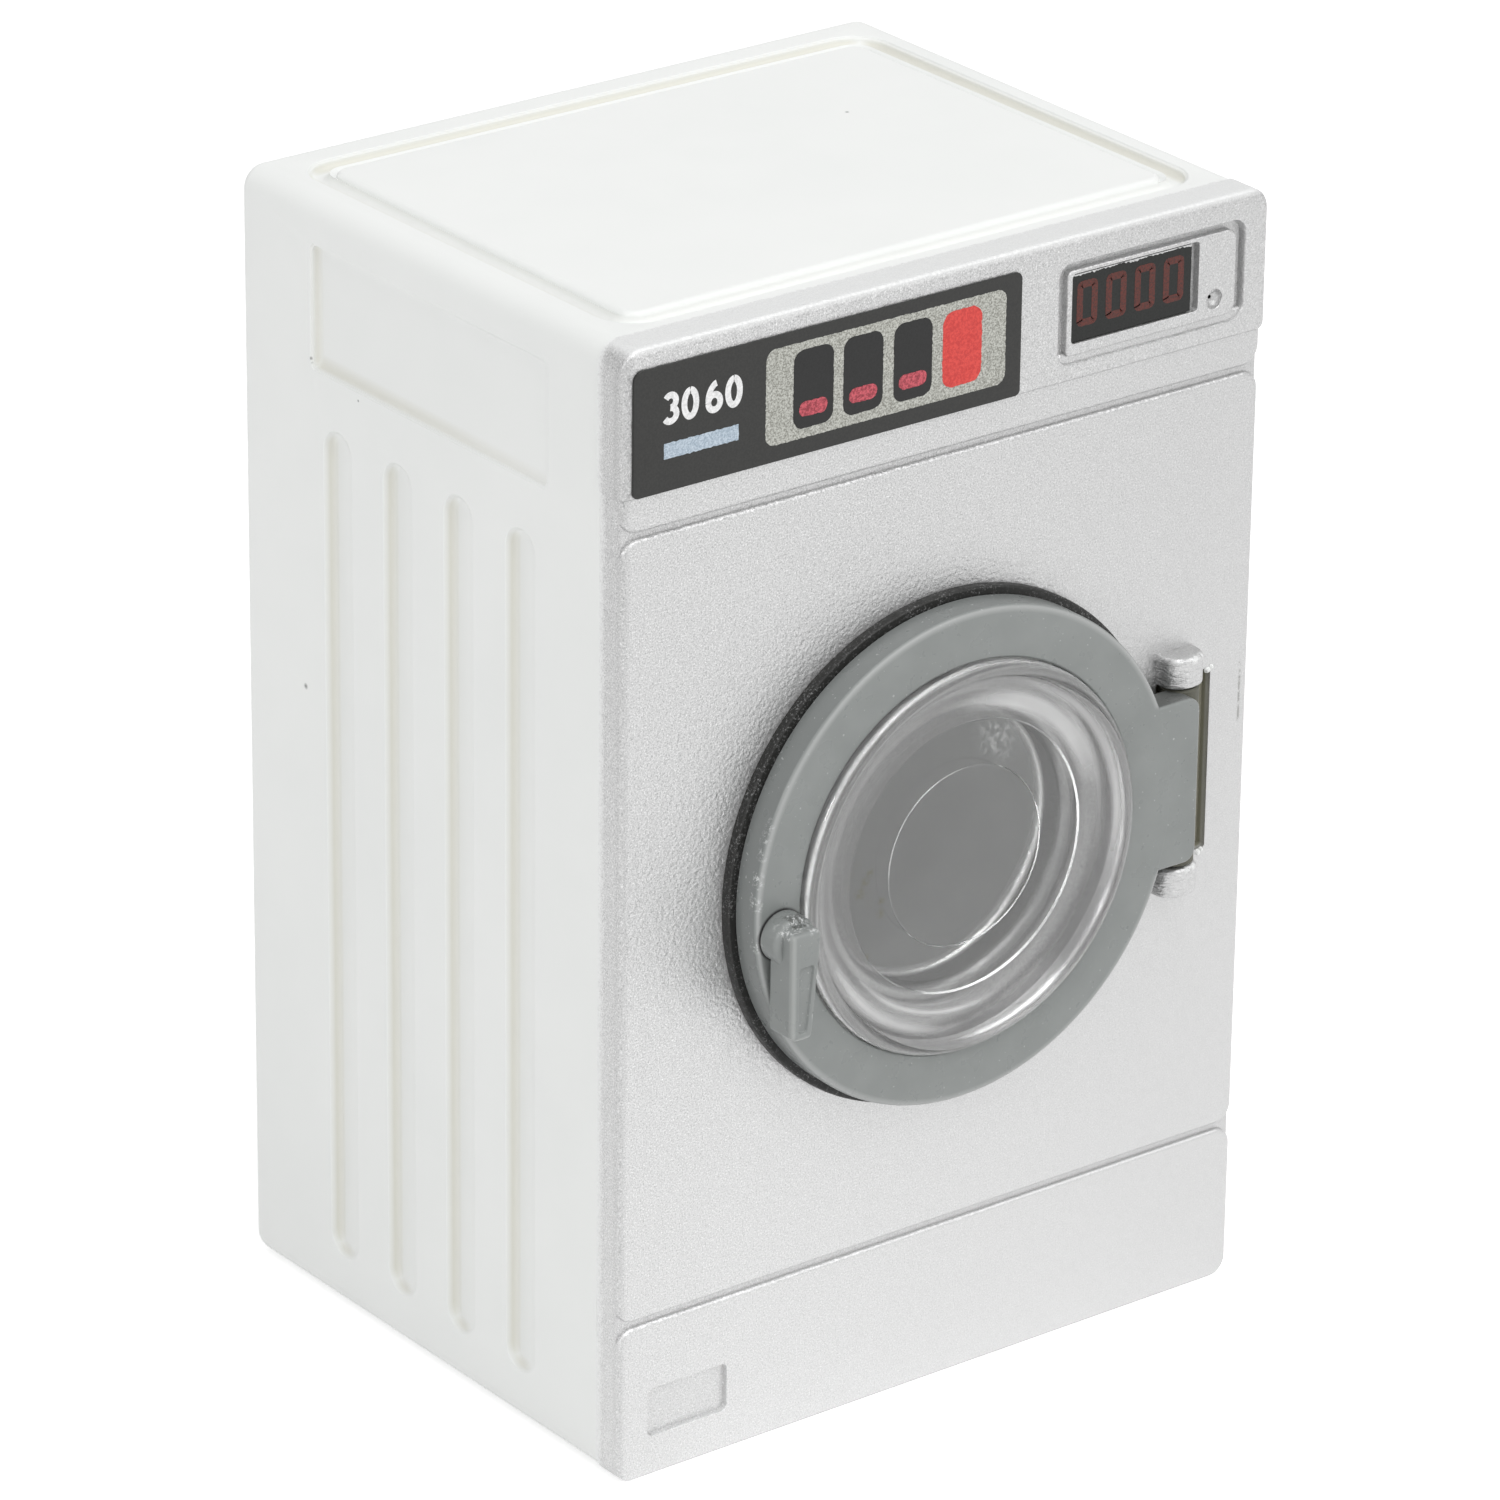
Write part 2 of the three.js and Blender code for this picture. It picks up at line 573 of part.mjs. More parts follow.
// Rear cover: a plate with four screw recesses and the drum's bearing
function rearCover() {
  const side = CABINET_WIDTH / 2 - WALL - SEAT_GAP;
  const outline = roundedRectangle({
    left: -side,
    right: side,
    bottom: WALL + SEAT_GAP,
    top: CABINET_HEIGHT - WALL - SEAT_GAP,
    corner: COVER_CORNER,
  });
  let cover = slab(outline, COVER_FRONT, BACK);
  for (const [x, z] of cornerPlaces()) {
    cover = cover.subtract(bar(x, z, SCREW_SHANK_RADIUS + SEAT_GAP,
      COVER_FRONT - CUT_MARGIN, BACK + CUT_MARGIN));
    cover = cover.subtract(bar(x, z, SCREW_HEAD_RADIUS + SEAT_GAP,
      BACK - SCREW_RECESS, BACK + CUT_MARGIN, MEDIUM));
  }
  cover = cover.add(turned([
    [0, bearingFront()],
    [BEARING_RADIUS, bearingFront()],
    [BEARING_RADIUS, COVER_FRONT + BOSS_ROOT],
    [0, COVER_FRONT + BOSS_ROOT],
  ], MEDIUM));
  cover = cover.subtract(bar(DOOR_X, DOOR_Z, BEARING_RECESS_RADIUS,
    bearingFloor(), BACK + CUT_MARGIN, MEDIUM));
  cover = cover.subtract(bar(DOOR_X, DOOR_Z, SPINDLE_RADIUS + RUNNING_GAP,
    bearingFront() - CUT_MARGIN, BACK, MEDIUM));
  return piece('rear_cover', cover, 0xeef0ee, 0.5, 0);
}

function bearingFront() {
  return DRUM_REAR + END_PLAY;
}

function bearingFloor() {
  return BACK - BEARING_RECESS_DEPTH;
}

// A pan-head screw with a cross recess, its head towards the back
function panScrew(name, x, z, seat, shankRadius, shankLength, headRadius, headHeight) {
  const ease = headHeight * HEAD_EASE;
  const profile = [
    [0, seat - shankLength],
    [shankRadius / 2, seat - shankLength],
    [shankRadius, seat - shankLength + shankRadius],
    [shankRadius, seat],
    [headRadius, seat],
    [headRadius, seat + headHeight - ease],
    [headRadius - ease, seat + headHeight],
    [0, seat + headHeight],
  ];
  const points = profile.map(([radius, depth]) => new THREE.Vector2(radius, depth));
  const body = new THREE.LatheGeometry(points, SMALL);
  body.translate(x, 0, z);
  const reach = headRadius * CROSS_REACH;
  const blade = headRadius * CROSS_BLADE;
  const top = seat + headHeight + CUT_MARGIN;
  const recess = seat + ease;
  const screw = solid(body)
    .subtract(block(x - reach, x + reach, recess, top, z - blade, z + blade))
    .subtract(block(x - blade, x + blade, recess, top, z - reach, z + reach));
  return piece(name, screw, 0xb9bcbe, 0.3, 0.95);
}

function caseScrew(number, x, z) {
  return panScrew(`case_screw_${number}`, x, z, BACK - SCREW_RECESS,
    SCREW_SHANK_RADIUS, SCREW_SHANK_LENGTH, SCREW_HEAD_RADIUS, SCREW_HEAD_HEIGHT);
}

// Drum: a cup turned about the door's axis, with lifters along its wall and a bored spindle
function drum() {
  const inner = DRUM_RADIUS - DRUM_WALL;
  const floor = DRUM_REAR - DRUM_WALL;
  const spindleEnd = bearingFloor() + END_PLAY / 2;
  let cup = turned([
    [0, floor],
    [inner, floor],
    [inner, DRUM_FRONT + DRUM_WALL],
    [DRUM_MOUTH_RADIUS, DRUM_FRONT + DRUM_WALL],
    [DRUM_MOUTH_RADIUS, DRUM_FRONT],
    [DRUM_RADIUS, DRUM_FRONT],
    [DRUM_RADIUS, DRUM_REAR],
    [SPINDLE_RADIUS, DRUM_REAR],
    [SPINDLE_RADIUS, spindleEnd],
    [0, spindleEnd],
  ]);
  for (let i = 0; i < LIFTER_COUNT; i += 1) {
    const turn = LIFTER_FIRST_ANGLE + 2 * Math.PI * i / LIFTER_COUNT;
    cup = cup.add(lifter(turn));
  }
  cup = cup.subtract(bar(DOOR_X, DOOR_Z, AXLE_SHANK_RADIUS + RUNNING_GAP,
    spindleEnd - AXLE_SHANK_LENGTH - SEAT_GAP, spindleEnd + CUT_MARGIN));
  return piece('drum', cup, 0x8b8f8d, 0.4, 0);
}

// A tapered rib along the drum's wall
function lifter(turn) {
  const root = DRUM_RADIUS - DRUM_WALL / 2;
  const crest = DRUM_RADIUS - DRUM_WALL - LIFTER_HEIGHT;
  const shape = new THREE.Shape([
    new THREE.Vector2(root, -LIFTER_THICKNESS),
    new THREE.Vector2(root, LIFTER_THICKNESS),
    new THREE.Vector2(crest, LIFTER_THICKNESS / 2),
    new THREE.Vector2(crest, -LIFTER_THICKNESS / 2),
  ]);
  const front = DRUM_FRONT + DRUM_WALL / 2;
  const rear = DRUM_REAR - DRUM_WALL / 2;
  const geometry = new THREE.ExtrudeGeometry(shape, { depth: rear - front, bevelEnabled: false });
  geometry.rotateX(Math.PI / 2);
  geometry.rotateY(turn);
  geometry.translate(DOOR_X, rear, DOOR_Z);
  return solid(geometry);
}

function drumWasher() {
  const front = bearingFloor() + END_PLAY / 2;
  const washer = bar(DOOR_X, DOOR_Z, WASHER_RADIUS, front, front + WASHER_THICKNESS, MEDIUM)
    .subtract(bar(DOOR_X, DOOR_Z, AXLE_SHANK_RADIUS + SEAT_GAP,
      front - CUT_MARGIN, front + WASHER_THICKNESS + CUT_MARGIN));
  return piece('drum_washer', washer, 0xb9bcbe, 0.3, 0.95);
}

function drumAxleScrew() {
  const seat = bearingFloor() + END_PLAY / 2 + WASHER_THICKNESS;
  return panScrew('drum_axle_screw', DOOR_X, DOOR_Z, seat,
    AXLE_SHANK_RADIUS, AXLE_SHANK_LENGTH, AXLE_HEAD_RADIUS, AXLE_HEAD_HEIGHT);
}

// Seal: the black ring that the door closes on
function doorSeal() {
  const seal = turned([
    [SEAL_BORE, SEAL_FRONT],
    [SEAL_RADIUS, SEAL_FRONT],
    [SEAL_RADIUS, PLATE_FACE],
    [SEAL_BORE, PLATE_FACE],
    [SEAL_BORE, SEAL_FRONT],
  ]);
  return piece('door_seal', seal, 0x262624, 0.5, 0);
}

// Door ring with its hinge tab and barrel, bored for the pin and for the handle's peg
function doorRing() {
  const round = RING_ROUND;
  let ring = turned([
    [RING_BORE, RING_FRONT + RING_EASE],
    [RING_BORE + RING_EASE, RING_FRONT],
    ...quarterRound(RING_RADIUS - round, RING_FRONT + round, round),
    [RING_RADIUS, RING_REAR],
    [RING_BORE, RING_REAR],
    [RING_BORE, RING_FRONT + RING_EASE],
  ]);
  const tab = roundedRectangle({
    left: DOOR_X + RING_BORE + TAB_CORNER,
    right: HINGE_X - TAB_SHORT,
    bottom: TAB_BOTTOM,
    top: TAB_TOP,
    corner: TAB_CORNER,
  });
  const core = bar(DOOR_X, DOOR_Z, RING_RADIUS - round,
    RING_FRONT - CUT_MARGIN, RING_REAR + CUT_MARGIN, FINE);
  const barrelBottom = LOWER_KNUCKLE.top + SEAT_GAP;
  const barrelTop = UPPER_KNUCKLE.bottom - SEAT_GAP;
  ring = ring.add(slab(tab, RING_FRONT, RING_REAR).subtract(core));
  ring = ring.add(post(HINGE_X, HINGE_Y, BARREL_RADIUS, barrelBottom, barrelTop, MEDIUM));
  ring = ring.subtract(post(HINGE_X, HINGE_Y, PIN_RADIUS + RUNNING_GAP,
    barrelBottom - CUT_MARGIN, barrelTop + CUT_MARGIN));
  ring = ring.subtract(bar(HANDLE_X, HANDLE_Z, HANDLE_PEG_RADIUS + RUNNING_GAP,
    RING_FRONT - CUT_MARGIN, RING_REAR + CUT_MARGIN));
  ring = ring.subtract(bar(HANDLE_X, HANDLE_Z, HANDLE_HEAD_RADIUS + RUNNING_GAP,
    RING_REAR - HANDLE_HEAD_HEIGHT - RUNNING_GAP, RING_REAR + CUT_MARGIN));
  return piece('door_ring', ring, 0x8b8f8d, 0.4, 0);
}

// Window: a clear plug with a round raised rim and a flat disc sunk inside it
function doorWindow() {
  const outer = RING_BORE - RUNNING_GAP;
  const disc = RING_FRONT + WINDOW_DISC_SINK;
  const crest = RING_FRONT - WINDOW_PROUD;
  const rim = WINDOW_PROUD;
  const rimMiddle = outer - rim;
  const window = turned([
    [0, disc],
    [WINDOW_DISC_RADIUS, disc],
    [WINDOW_DISC_RADIUS + WINDOW_LIP_WIDTH, disc - WINDOW_LIP_HEIGHT],
    [(WINDOW_DISC_RADIUS + rimMiddle) / 2, RING_FRONT - WINDOW_DISH],
    ...quarterRound(rimMiddle, crest + rim, rim),
    [outer, RING_REAR],
    [WINDOW_DISC_RADIUS, RING_REAR],
    [WINDOW_DISC_RADIUS - WINDOW_REAR_EASE, disc + WINDOW_THICKNESS],
    [0, disc + WINDOW_THICKNESS],
  ]);
  return piece('door_window', window, 0xdfe6e6, 0.08, 0);
}

// Handle: boss, arm, peg through the ring and the head that holds it there
function doorHandle() {
  const base = RING_FRONT - RUNNING_GAP;
  const bossFront = RING_FRONT - HANDLE_BOSS_LENGTH;
  const armFront = RING_FRONT - ARM_FRONT;
  const armRear = RING_FRONT - ARM_STANDOFF;
  const head = RING_REAR - HANDLE_HEAD_HEIGHT;
  const halfTop = ARM_TOP_WIDTH / 2;
  const arm = new THREE.Shape([
    new THREE.Vector2(HANDLE_X - halfTop, HANDLE_Z + ARM_RISE),
    new THREE.Vector2(HANDLE_X - halfTop, HANDLE_Z - ARM_DROP),
    new THREE.Vector2(HANDLE_X - halfTop + ARM_BOTTOM_WIDTH, HANDLE_Z - ARM_DROP),
    new THREE.Vector2(HANDLE_X + halfTop, HANDLE_Z + ARM_RISE),
  ]);
  const hollow = new THREE.Shape([
    new THREE.Vector2(HANDLE_X - ARM_RECESS_SIDE, HANDLE_Z - HANDLE_BOSS_RADIUS),
    new THREE.Vector2(HANDLE_X - ARM_RECESS_SIDE, HANDLE_Z - ARM_RECESS_DROP),
    new THREE.Vector2(HANDLE_X, HANDLE_Z - ARM_RECESS_DROP),
    new THREE.Vector2(HANDLE_X + ARM_RECESS_SIDE, HANDLE_Z - HANDLE_BOSS_RADIUS),
  ]);
  const handle = bar(HANDLE_X, HANDLE_Z, HANDLE_BOSS_RADIUS, bossFront, base, MEDIUM)
    .add(slab(arm, armFront, armRear))
    .add(bar(HANDLE_X, HANDLE_Z, HANDLE_PEG_RADIUS, bossFront, RING_REAR - RUNNING_GAP))
    .add(bar(HANDLE_X, HANDLE_Z, HANDLE_HEAD_RADIUS, head, RING_REAR - RUNNING_GAP))
    .subtract(slab(hollow, armFront - CUT_MARGIN, armFront + ARM_RECESS));
  return piece('door_handle', handle, 0x8b8f8d, 0.4, 0);
}

function hingePin() {
  const pin = post(HINGE_X, HINGE_Y, PIN_RADIUS,
    LOWER_KNUCKLE.bottom + SEAT_GAP, UPPER_KNUCKLE.top - PIN_COVER - SEAT_GAP);
  return piece('hinge_pin', pin, 0xb4b7b9, 0.25, 1);
}

const cabinet = new THREE.Group();
cabinet.name = 'cabinet';
cabinet.add(cabinetShell(), frontPanel(), rearCover(), controlLabel(), displayLabel());
cabinet.add(doorSeal(), hingePin());
cornerPlaces().forEach(([x, z], index) => cabinet.add(caseScrew(index + 1, x, z)));

const drumGroup = new THREE.Group();
drumGroup.name = 'drum_assembly';
drumGroup.add(drum(), drumWasher(), drumAxleScrew());

const door = new THREE.Group();
door.name = 'door';
door.add(doorRing(), doorWindow(), doorHandle());

const group = new THREE.Group();
group.name = 'dollhouse_washer_dryer';
group.add(cabinet, drumGroup, door);

export default group;
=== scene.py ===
"""A dollhouse washer dryer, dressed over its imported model.

Sizes are in millimetres and become metres where a mesh is made. The front faces -Y, +Z is up,
and the origin is the middle of the base.
"""

import math

import bmesh
import bpy
from mathutils import Matrix, Vector, noise
from mathutils.geometry import delaunay_2d_cdt

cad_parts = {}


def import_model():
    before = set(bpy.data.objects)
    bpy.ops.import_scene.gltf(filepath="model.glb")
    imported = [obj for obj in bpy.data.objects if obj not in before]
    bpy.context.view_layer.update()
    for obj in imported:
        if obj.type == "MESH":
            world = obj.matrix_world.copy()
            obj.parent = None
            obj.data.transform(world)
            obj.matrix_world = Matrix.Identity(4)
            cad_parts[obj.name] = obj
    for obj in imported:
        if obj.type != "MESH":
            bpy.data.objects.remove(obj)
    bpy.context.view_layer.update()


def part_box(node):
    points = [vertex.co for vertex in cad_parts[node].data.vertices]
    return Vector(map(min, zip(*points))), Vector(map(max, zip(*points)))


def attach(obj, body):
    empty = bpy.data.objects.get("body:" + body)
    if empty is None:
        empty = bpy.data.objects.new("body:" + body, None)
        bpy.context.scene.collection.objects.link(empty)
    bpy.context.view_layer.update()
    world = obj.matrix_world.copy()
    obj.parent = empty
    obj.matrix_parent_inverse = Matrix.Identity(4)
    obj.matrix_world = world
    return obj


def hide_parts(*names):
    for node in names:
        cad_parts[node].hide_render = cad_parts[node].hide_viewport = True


MM = 0.001
SHARP_ANGLE = math.radians(38)
SMALLEST_ROUND = 0.01

# How many points go round a circle
SMOOTH = 160
MEDIUM = 48

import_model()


def extent(node):
    """The lowest and highest corner of a solid, in millimetres."""
    low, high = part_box(node)
    return low / MM, high / MM


# Sizes that the solids give

shell_low, shell_high = extent("cabinet_shell")
label_low, label_high = extent("control_label")
seal_low, seal_high = extent("door_seal")
ring_low, ring_high = extent("door_ring")
window_low, window_high = extent("door_window")
pin_low, pin_high = extent("hinge_pin")

HEIGHT = shell_high.z
HALF_WIDTH = shell_high.x
FASCIA_SIDE = extent("front_panel")[1].x
FACE = label_high.y
PLATE_FACE = seal_high.y
PANEL_REAR = shell_low.y
BACK = shell_high.y
DOOR_X = (seal_low.x + seal_high.x) / 2
DOOR_Z = (seal_low.z + seal_high.z) / 2
SEAL_RADIUS = (seal_high.z - seal_low.z) / 2
SEAL_FRONT = seal_low.y
RING_RADIUS = (ring_high.z - ring_low.z) / 2
RING_FRONT = ring_low.y
RING_REAR = SEAL_FRONT - 0.05
WINDOW_RADIUS = (window_high.z - window_low.z) / 2
WINDOW_CREST = window_low.y
HINGE_X = (pin_low.x + pin_high.x) / 2
HINGE_Y = (pin_low.y + pin_high.y) / 2
PIN_RADIUS = (pin_high.x - pin_low.x) / 2

# Sizes of the cabinet shell, its recesses, slots and top groove

WALL = 1.5
SHELL_CORNER = 1.25
SHELL_BACK_ROUND = 0.8
RECESS_FRONT = FACE + 6.03
RECESS_REAR = BACK - 6.25
RECESS_TOP = HEIGHT - 2.23
RECESS_BOTTOM = RECESS_TOP - 6.64
SLOT_COUNT = 4
SLOT_INSET = 2.26
SLOT_WIDTH = 2.46
SLOT_BOTTOM = 3.0
SLOT_TOP = RECESS_BOTTOM - 2.7
SLOT_FRONT_DEPTH = 0.04
SLOT_PITCH = (RECESS_REAR - RECESS_FRONT - 2 * SLOT_INSET) / (SLOT_COUNT - 1)
SLOT_MIDDLES = [RECESS_FRONT + SLOT_INSET + SLOT_PITCH * index for index in range(SLOT_COUNT)]
TOP_SIDE = HALF_WIDTH - 3.2
TOP_FRONT = FACE + 3.95
TOP_REAR = BACK - 3.45
TOP_CORNER = 1.5
TOP_GROOVE = 1.4
TOP_GROOVE_DEPTH = 0.45

# Sizes of the front panel

OPENING_RADIUS = 7.43
FASCIA_BOTTOM = HEIGHT - 7.58
FASCIA_CORNER = 1.2
SEAM_WIDTH = 0.32
SEAM_DEPTH = 0.27
UPPER_SEAM = HEIGHT - 9.52
LOWER_SEAM = 8.67
PLATE_CORNER = 1.0
BASE_INSET = 0.03
HINGE_SLOT_LEFT = 1.1
HINGE_SLOT_RIGHT = 2.38
KNUCKLE_HEIGHT = 1.62
KNUCKLE_RADIUS = 1.24
KNUCKLE_BEND = 0.87
KNUCKLE_Y = FACE - 0.05
PIN_CLEARANCE = 0.1
PIN_COVER = 0.6
LOWER_KNUCKLE_TOP = pin_low.z - PIN_CLEARANCE + KNUCKLE_HEIGHT
UPPER_KNUCKLE_BOTTOM = pin_high.z + PIN_COVER - KNUCKLE_HEIGHT
HATCH_INSET = 1.85
HATCH_RISE = 2.2
HATCH_WIDTH = 4.9
HATCH_HEIGHT = 2.6
HATCH_DEPTH = 0.55
BURRS = ((17.0, 34.72, 0.2), (17.22, 34.85, 0.16), (16.75, 24.72, 0.2), (16.95, 24.85, 0.14))

# Sizes of the display and of the labels' print

DISPLAY_RIGHT = FASCIA_SIDE - 1.44
DISPLAY_LEFT = DISPLAY_RIGHT - 11.81
DISPLAY_TOP = HEIGHT - 1.41
DISPLAY_BOTTOM = DISPLAY_TOP - 5.25
DISPLAY_GROOVE_SIDE = 0.55
DISPLAY_GROOVE_END = 0.4
DISPLAY_GROOVE_DEPTH = 0.4
POCKET_DEPTH = 0.5
SCREEN_LEFT = 7.42
SCREEN_RIGHT = 14.98
SCREEN_BOTTOM = 54.42
SCREEN_TOP = 57.92
SCREEN_SINK = 0.1
SCREEN_GAP = 0.43
SCREEN_DIGITS = 4
SCREEN_DIGIT_PITCH = 1.82
SCREEN_DIGIT_INSET = 0.32
SCREEN_DIGIT_RISE = 0.72
LAMP_RADIUS = 0.5
LAMP_INSET = 1.35
LAMP_RISE = 1.0
INK_STEP = 0.006

# Areas of the control label's print, as left, right, bottom and top from its lower left corner
KEY_FIELD = (7.78, 22.34, 0.86, 5.76)
KEYS = [(left, right, 1.35, 5.35) for left, right in ((9.42, 11.83), (12.42, 14.82), (15.46, 17.81))]
STOP_KEY = (18.45, 20.85, 1.39, 5.3)
PALE_BAR = (1.78, 6.18, 1.66, 2.45)
KEY_LIGHT_HALF = 0.85
KEY_LIGHT_BOTTOM = 1.93
KEY_LIGHT_TOP = 2.7
NUMBERS_LEFT = 1.62
NUMBERS_BOTTOM = 3.35
DIGIT_WIDTH = 0.78
DIGIT_HEIGHT = 1.32
DIGIT_STROKE = 0.34

# Sizes of the door and its handle

RING_BORE = WINDOW_RADIUS + 0.05
RING_ROUND = 0.26
DISC_RADIUS = WINDOW_RADIUS - 3.15
DISC_FACE = RING_FRONT + 0.3
INNER_CIRCLE = 4.74
TAB_SHORT = 0.05
TAB_CORNER = 0.7
TAB_BOTTOM = LOWER_KNUCKLE_TOP + 0.73
TAB_TOP = UPPER_KNUCKLE_BOTTOM - 0.18
BARREL_RADIUS = 1.0
BARREL_PLAY = 0.1
HANDLE_X = DOOR_X - RING_RADIUS + 1.53
HANDLE_Z = DOOR_Z - 0.99
BOSS_RADIUS = 1.3
BOSS_FRONT = RING_FRONT - 1.3
ARM_STANDOFF = 0.35
ARM_FRONT = RING_FRONT - 2.2
ARM_TOP = HANDLE_Z + 0.9
ARM_BOTTOM = HANDLE_Z - 4.8
ARM_TOP_HALF = 0.875
ARM_LEFT = HANDLE_X - ARM_TOP_HALF
ARM_BOTTOM_WIDTH = 1.2
PEG_RADIUS = 0.55
PEG_HEAD_RADIUS = 0.8
PEG_HEAD_HEIGHT = 0.4

# Sizes of the drum and of the rear cover

DRUM_WALL = 1.1
DRUM_LENGTH = 20
DRUM_MOUTH = 8.13
DRUM_FLOOR_ROUND = 6
LIFTERS = 3
LIFTER_HEIGHT = 2
SPINDLE_RADIUS = 1.5
BOSS_SIDE = 4.2
SCREW_RECESS_RADIUS = 1.4
SCREW_RECESS = 0.9
BEARING_RADIUS = 4
BEARING_RECESS = 3
BEARING_SEAT = 2.2
COVER_THICKNESS = 1.5


# Outlines: functions that give the outline's points, drawn in by any distance

def outline(corners, radius, steps=6):
    """A closed outline with round corners, from corners that run anticlockwise."""
    radii = radius if isinstance(radius, (list, tuple)) else [radius] * len(corners)

    def drawn(inset=0.0):
        sides = []
        for (u, v), (next_u, next_v) in zip(corners, corners[1:] + corners[:1]):
            length = math.hypot(next_u - u, next_v - v)
            du, dv = (next_u - u) / length, (next_v - v) / length
            sides.append((u - dv * inset, v + du * inset, du, dv))
        points = []
        for index, (u, v, du, dv) in enumerate(sides):
            before_u, before_v, before_du, before_dv = sides[index - 1]
            cross = before_du * dv - before_dv * du
            along = ((u - before_u) * dv - (v - before_v) * du) / cross
            turn = math.degrees(math.atan2(cross, before_du * du + before_dv * dv))
            round_ = max(radii[index] - inset, SMALLEST_ROUND)
            along -= round_ * math.tan(math.radians(turn / 2))
            first = math.degrees(math.atan2(-before_du, before_dv))
            points += arc(before_u + before_du * along - before_dv * round_,
                          before_v + before_dv * along + before_du * round_,
                          round_, first, first + turn, steps)
        return points

    return drawn


def rectangle(left, right, bottom, top, radius, steps=6):
    return outline([(left, bottom), (right, bottom), (right, top), (left, top)], radius, steps)


def circle(u, v, radius, steps=SMOOTH):
    return lambda inset=0.0: arc(u, v, radius - inset, 0, 360, steps)[:-1]


def arc(u, v, wide, start, end, steps, high=None):
    """Points on part of a circle, or of an ellipse of another height, between two angles in
    degrees."""
    high = wide if high is None else high
    turns = [math.radians(start + (end - start) * step / steps) for step in range(steps + 1)]
    return [(u + wide * math.cos(t), v + high * math.sin(t)) for t in turns]


def quarter(steps):
    return [math.pi / 2 * step / steps for step in range(steps + 1)]


def rounded_edge(wide, deep, root, steps=5):
    """From the flat face over a rounded edge down to the root."""
    edge = [(wide * (1 - math.sin(t)), deep * (1 - math.cos(t))) for t in quarter(steps)]
    return edge + [(0, root)]


def sunk(lip, depth, run, fillet, steps=4):
    """From the flat face over a lip, down a leaning wall and round a fillet to a floor."""
    over = [(-lip * (1 - math.sin(t)), lip * (1 - math.cos(t))) for t in quarter(steps)]
    under = [(run + fillet * (1 - math.cos(t)), depth - fillet * (1 - math.sin(t)))
             for t in quarter(steps)]
    return over + under


def inside(points, u, v):
    """Whether a flat point lies inside a closed outline."""
    within = False
    for (u0, v0), (u1, v1) in zip(points, points[1:] + points[:1]):
        if (v0 > v) != (v1 > v) and u < u0 + (u1 - u0) * (v - v0) / (v1 - v0):
            within = not within
    return within


def placed(name, data):
    """A new object in the scene."""
    thing = bpy.data.objects.new(name, data)
    bpy.context.scene.collection.objects.link(thing)
    return thing


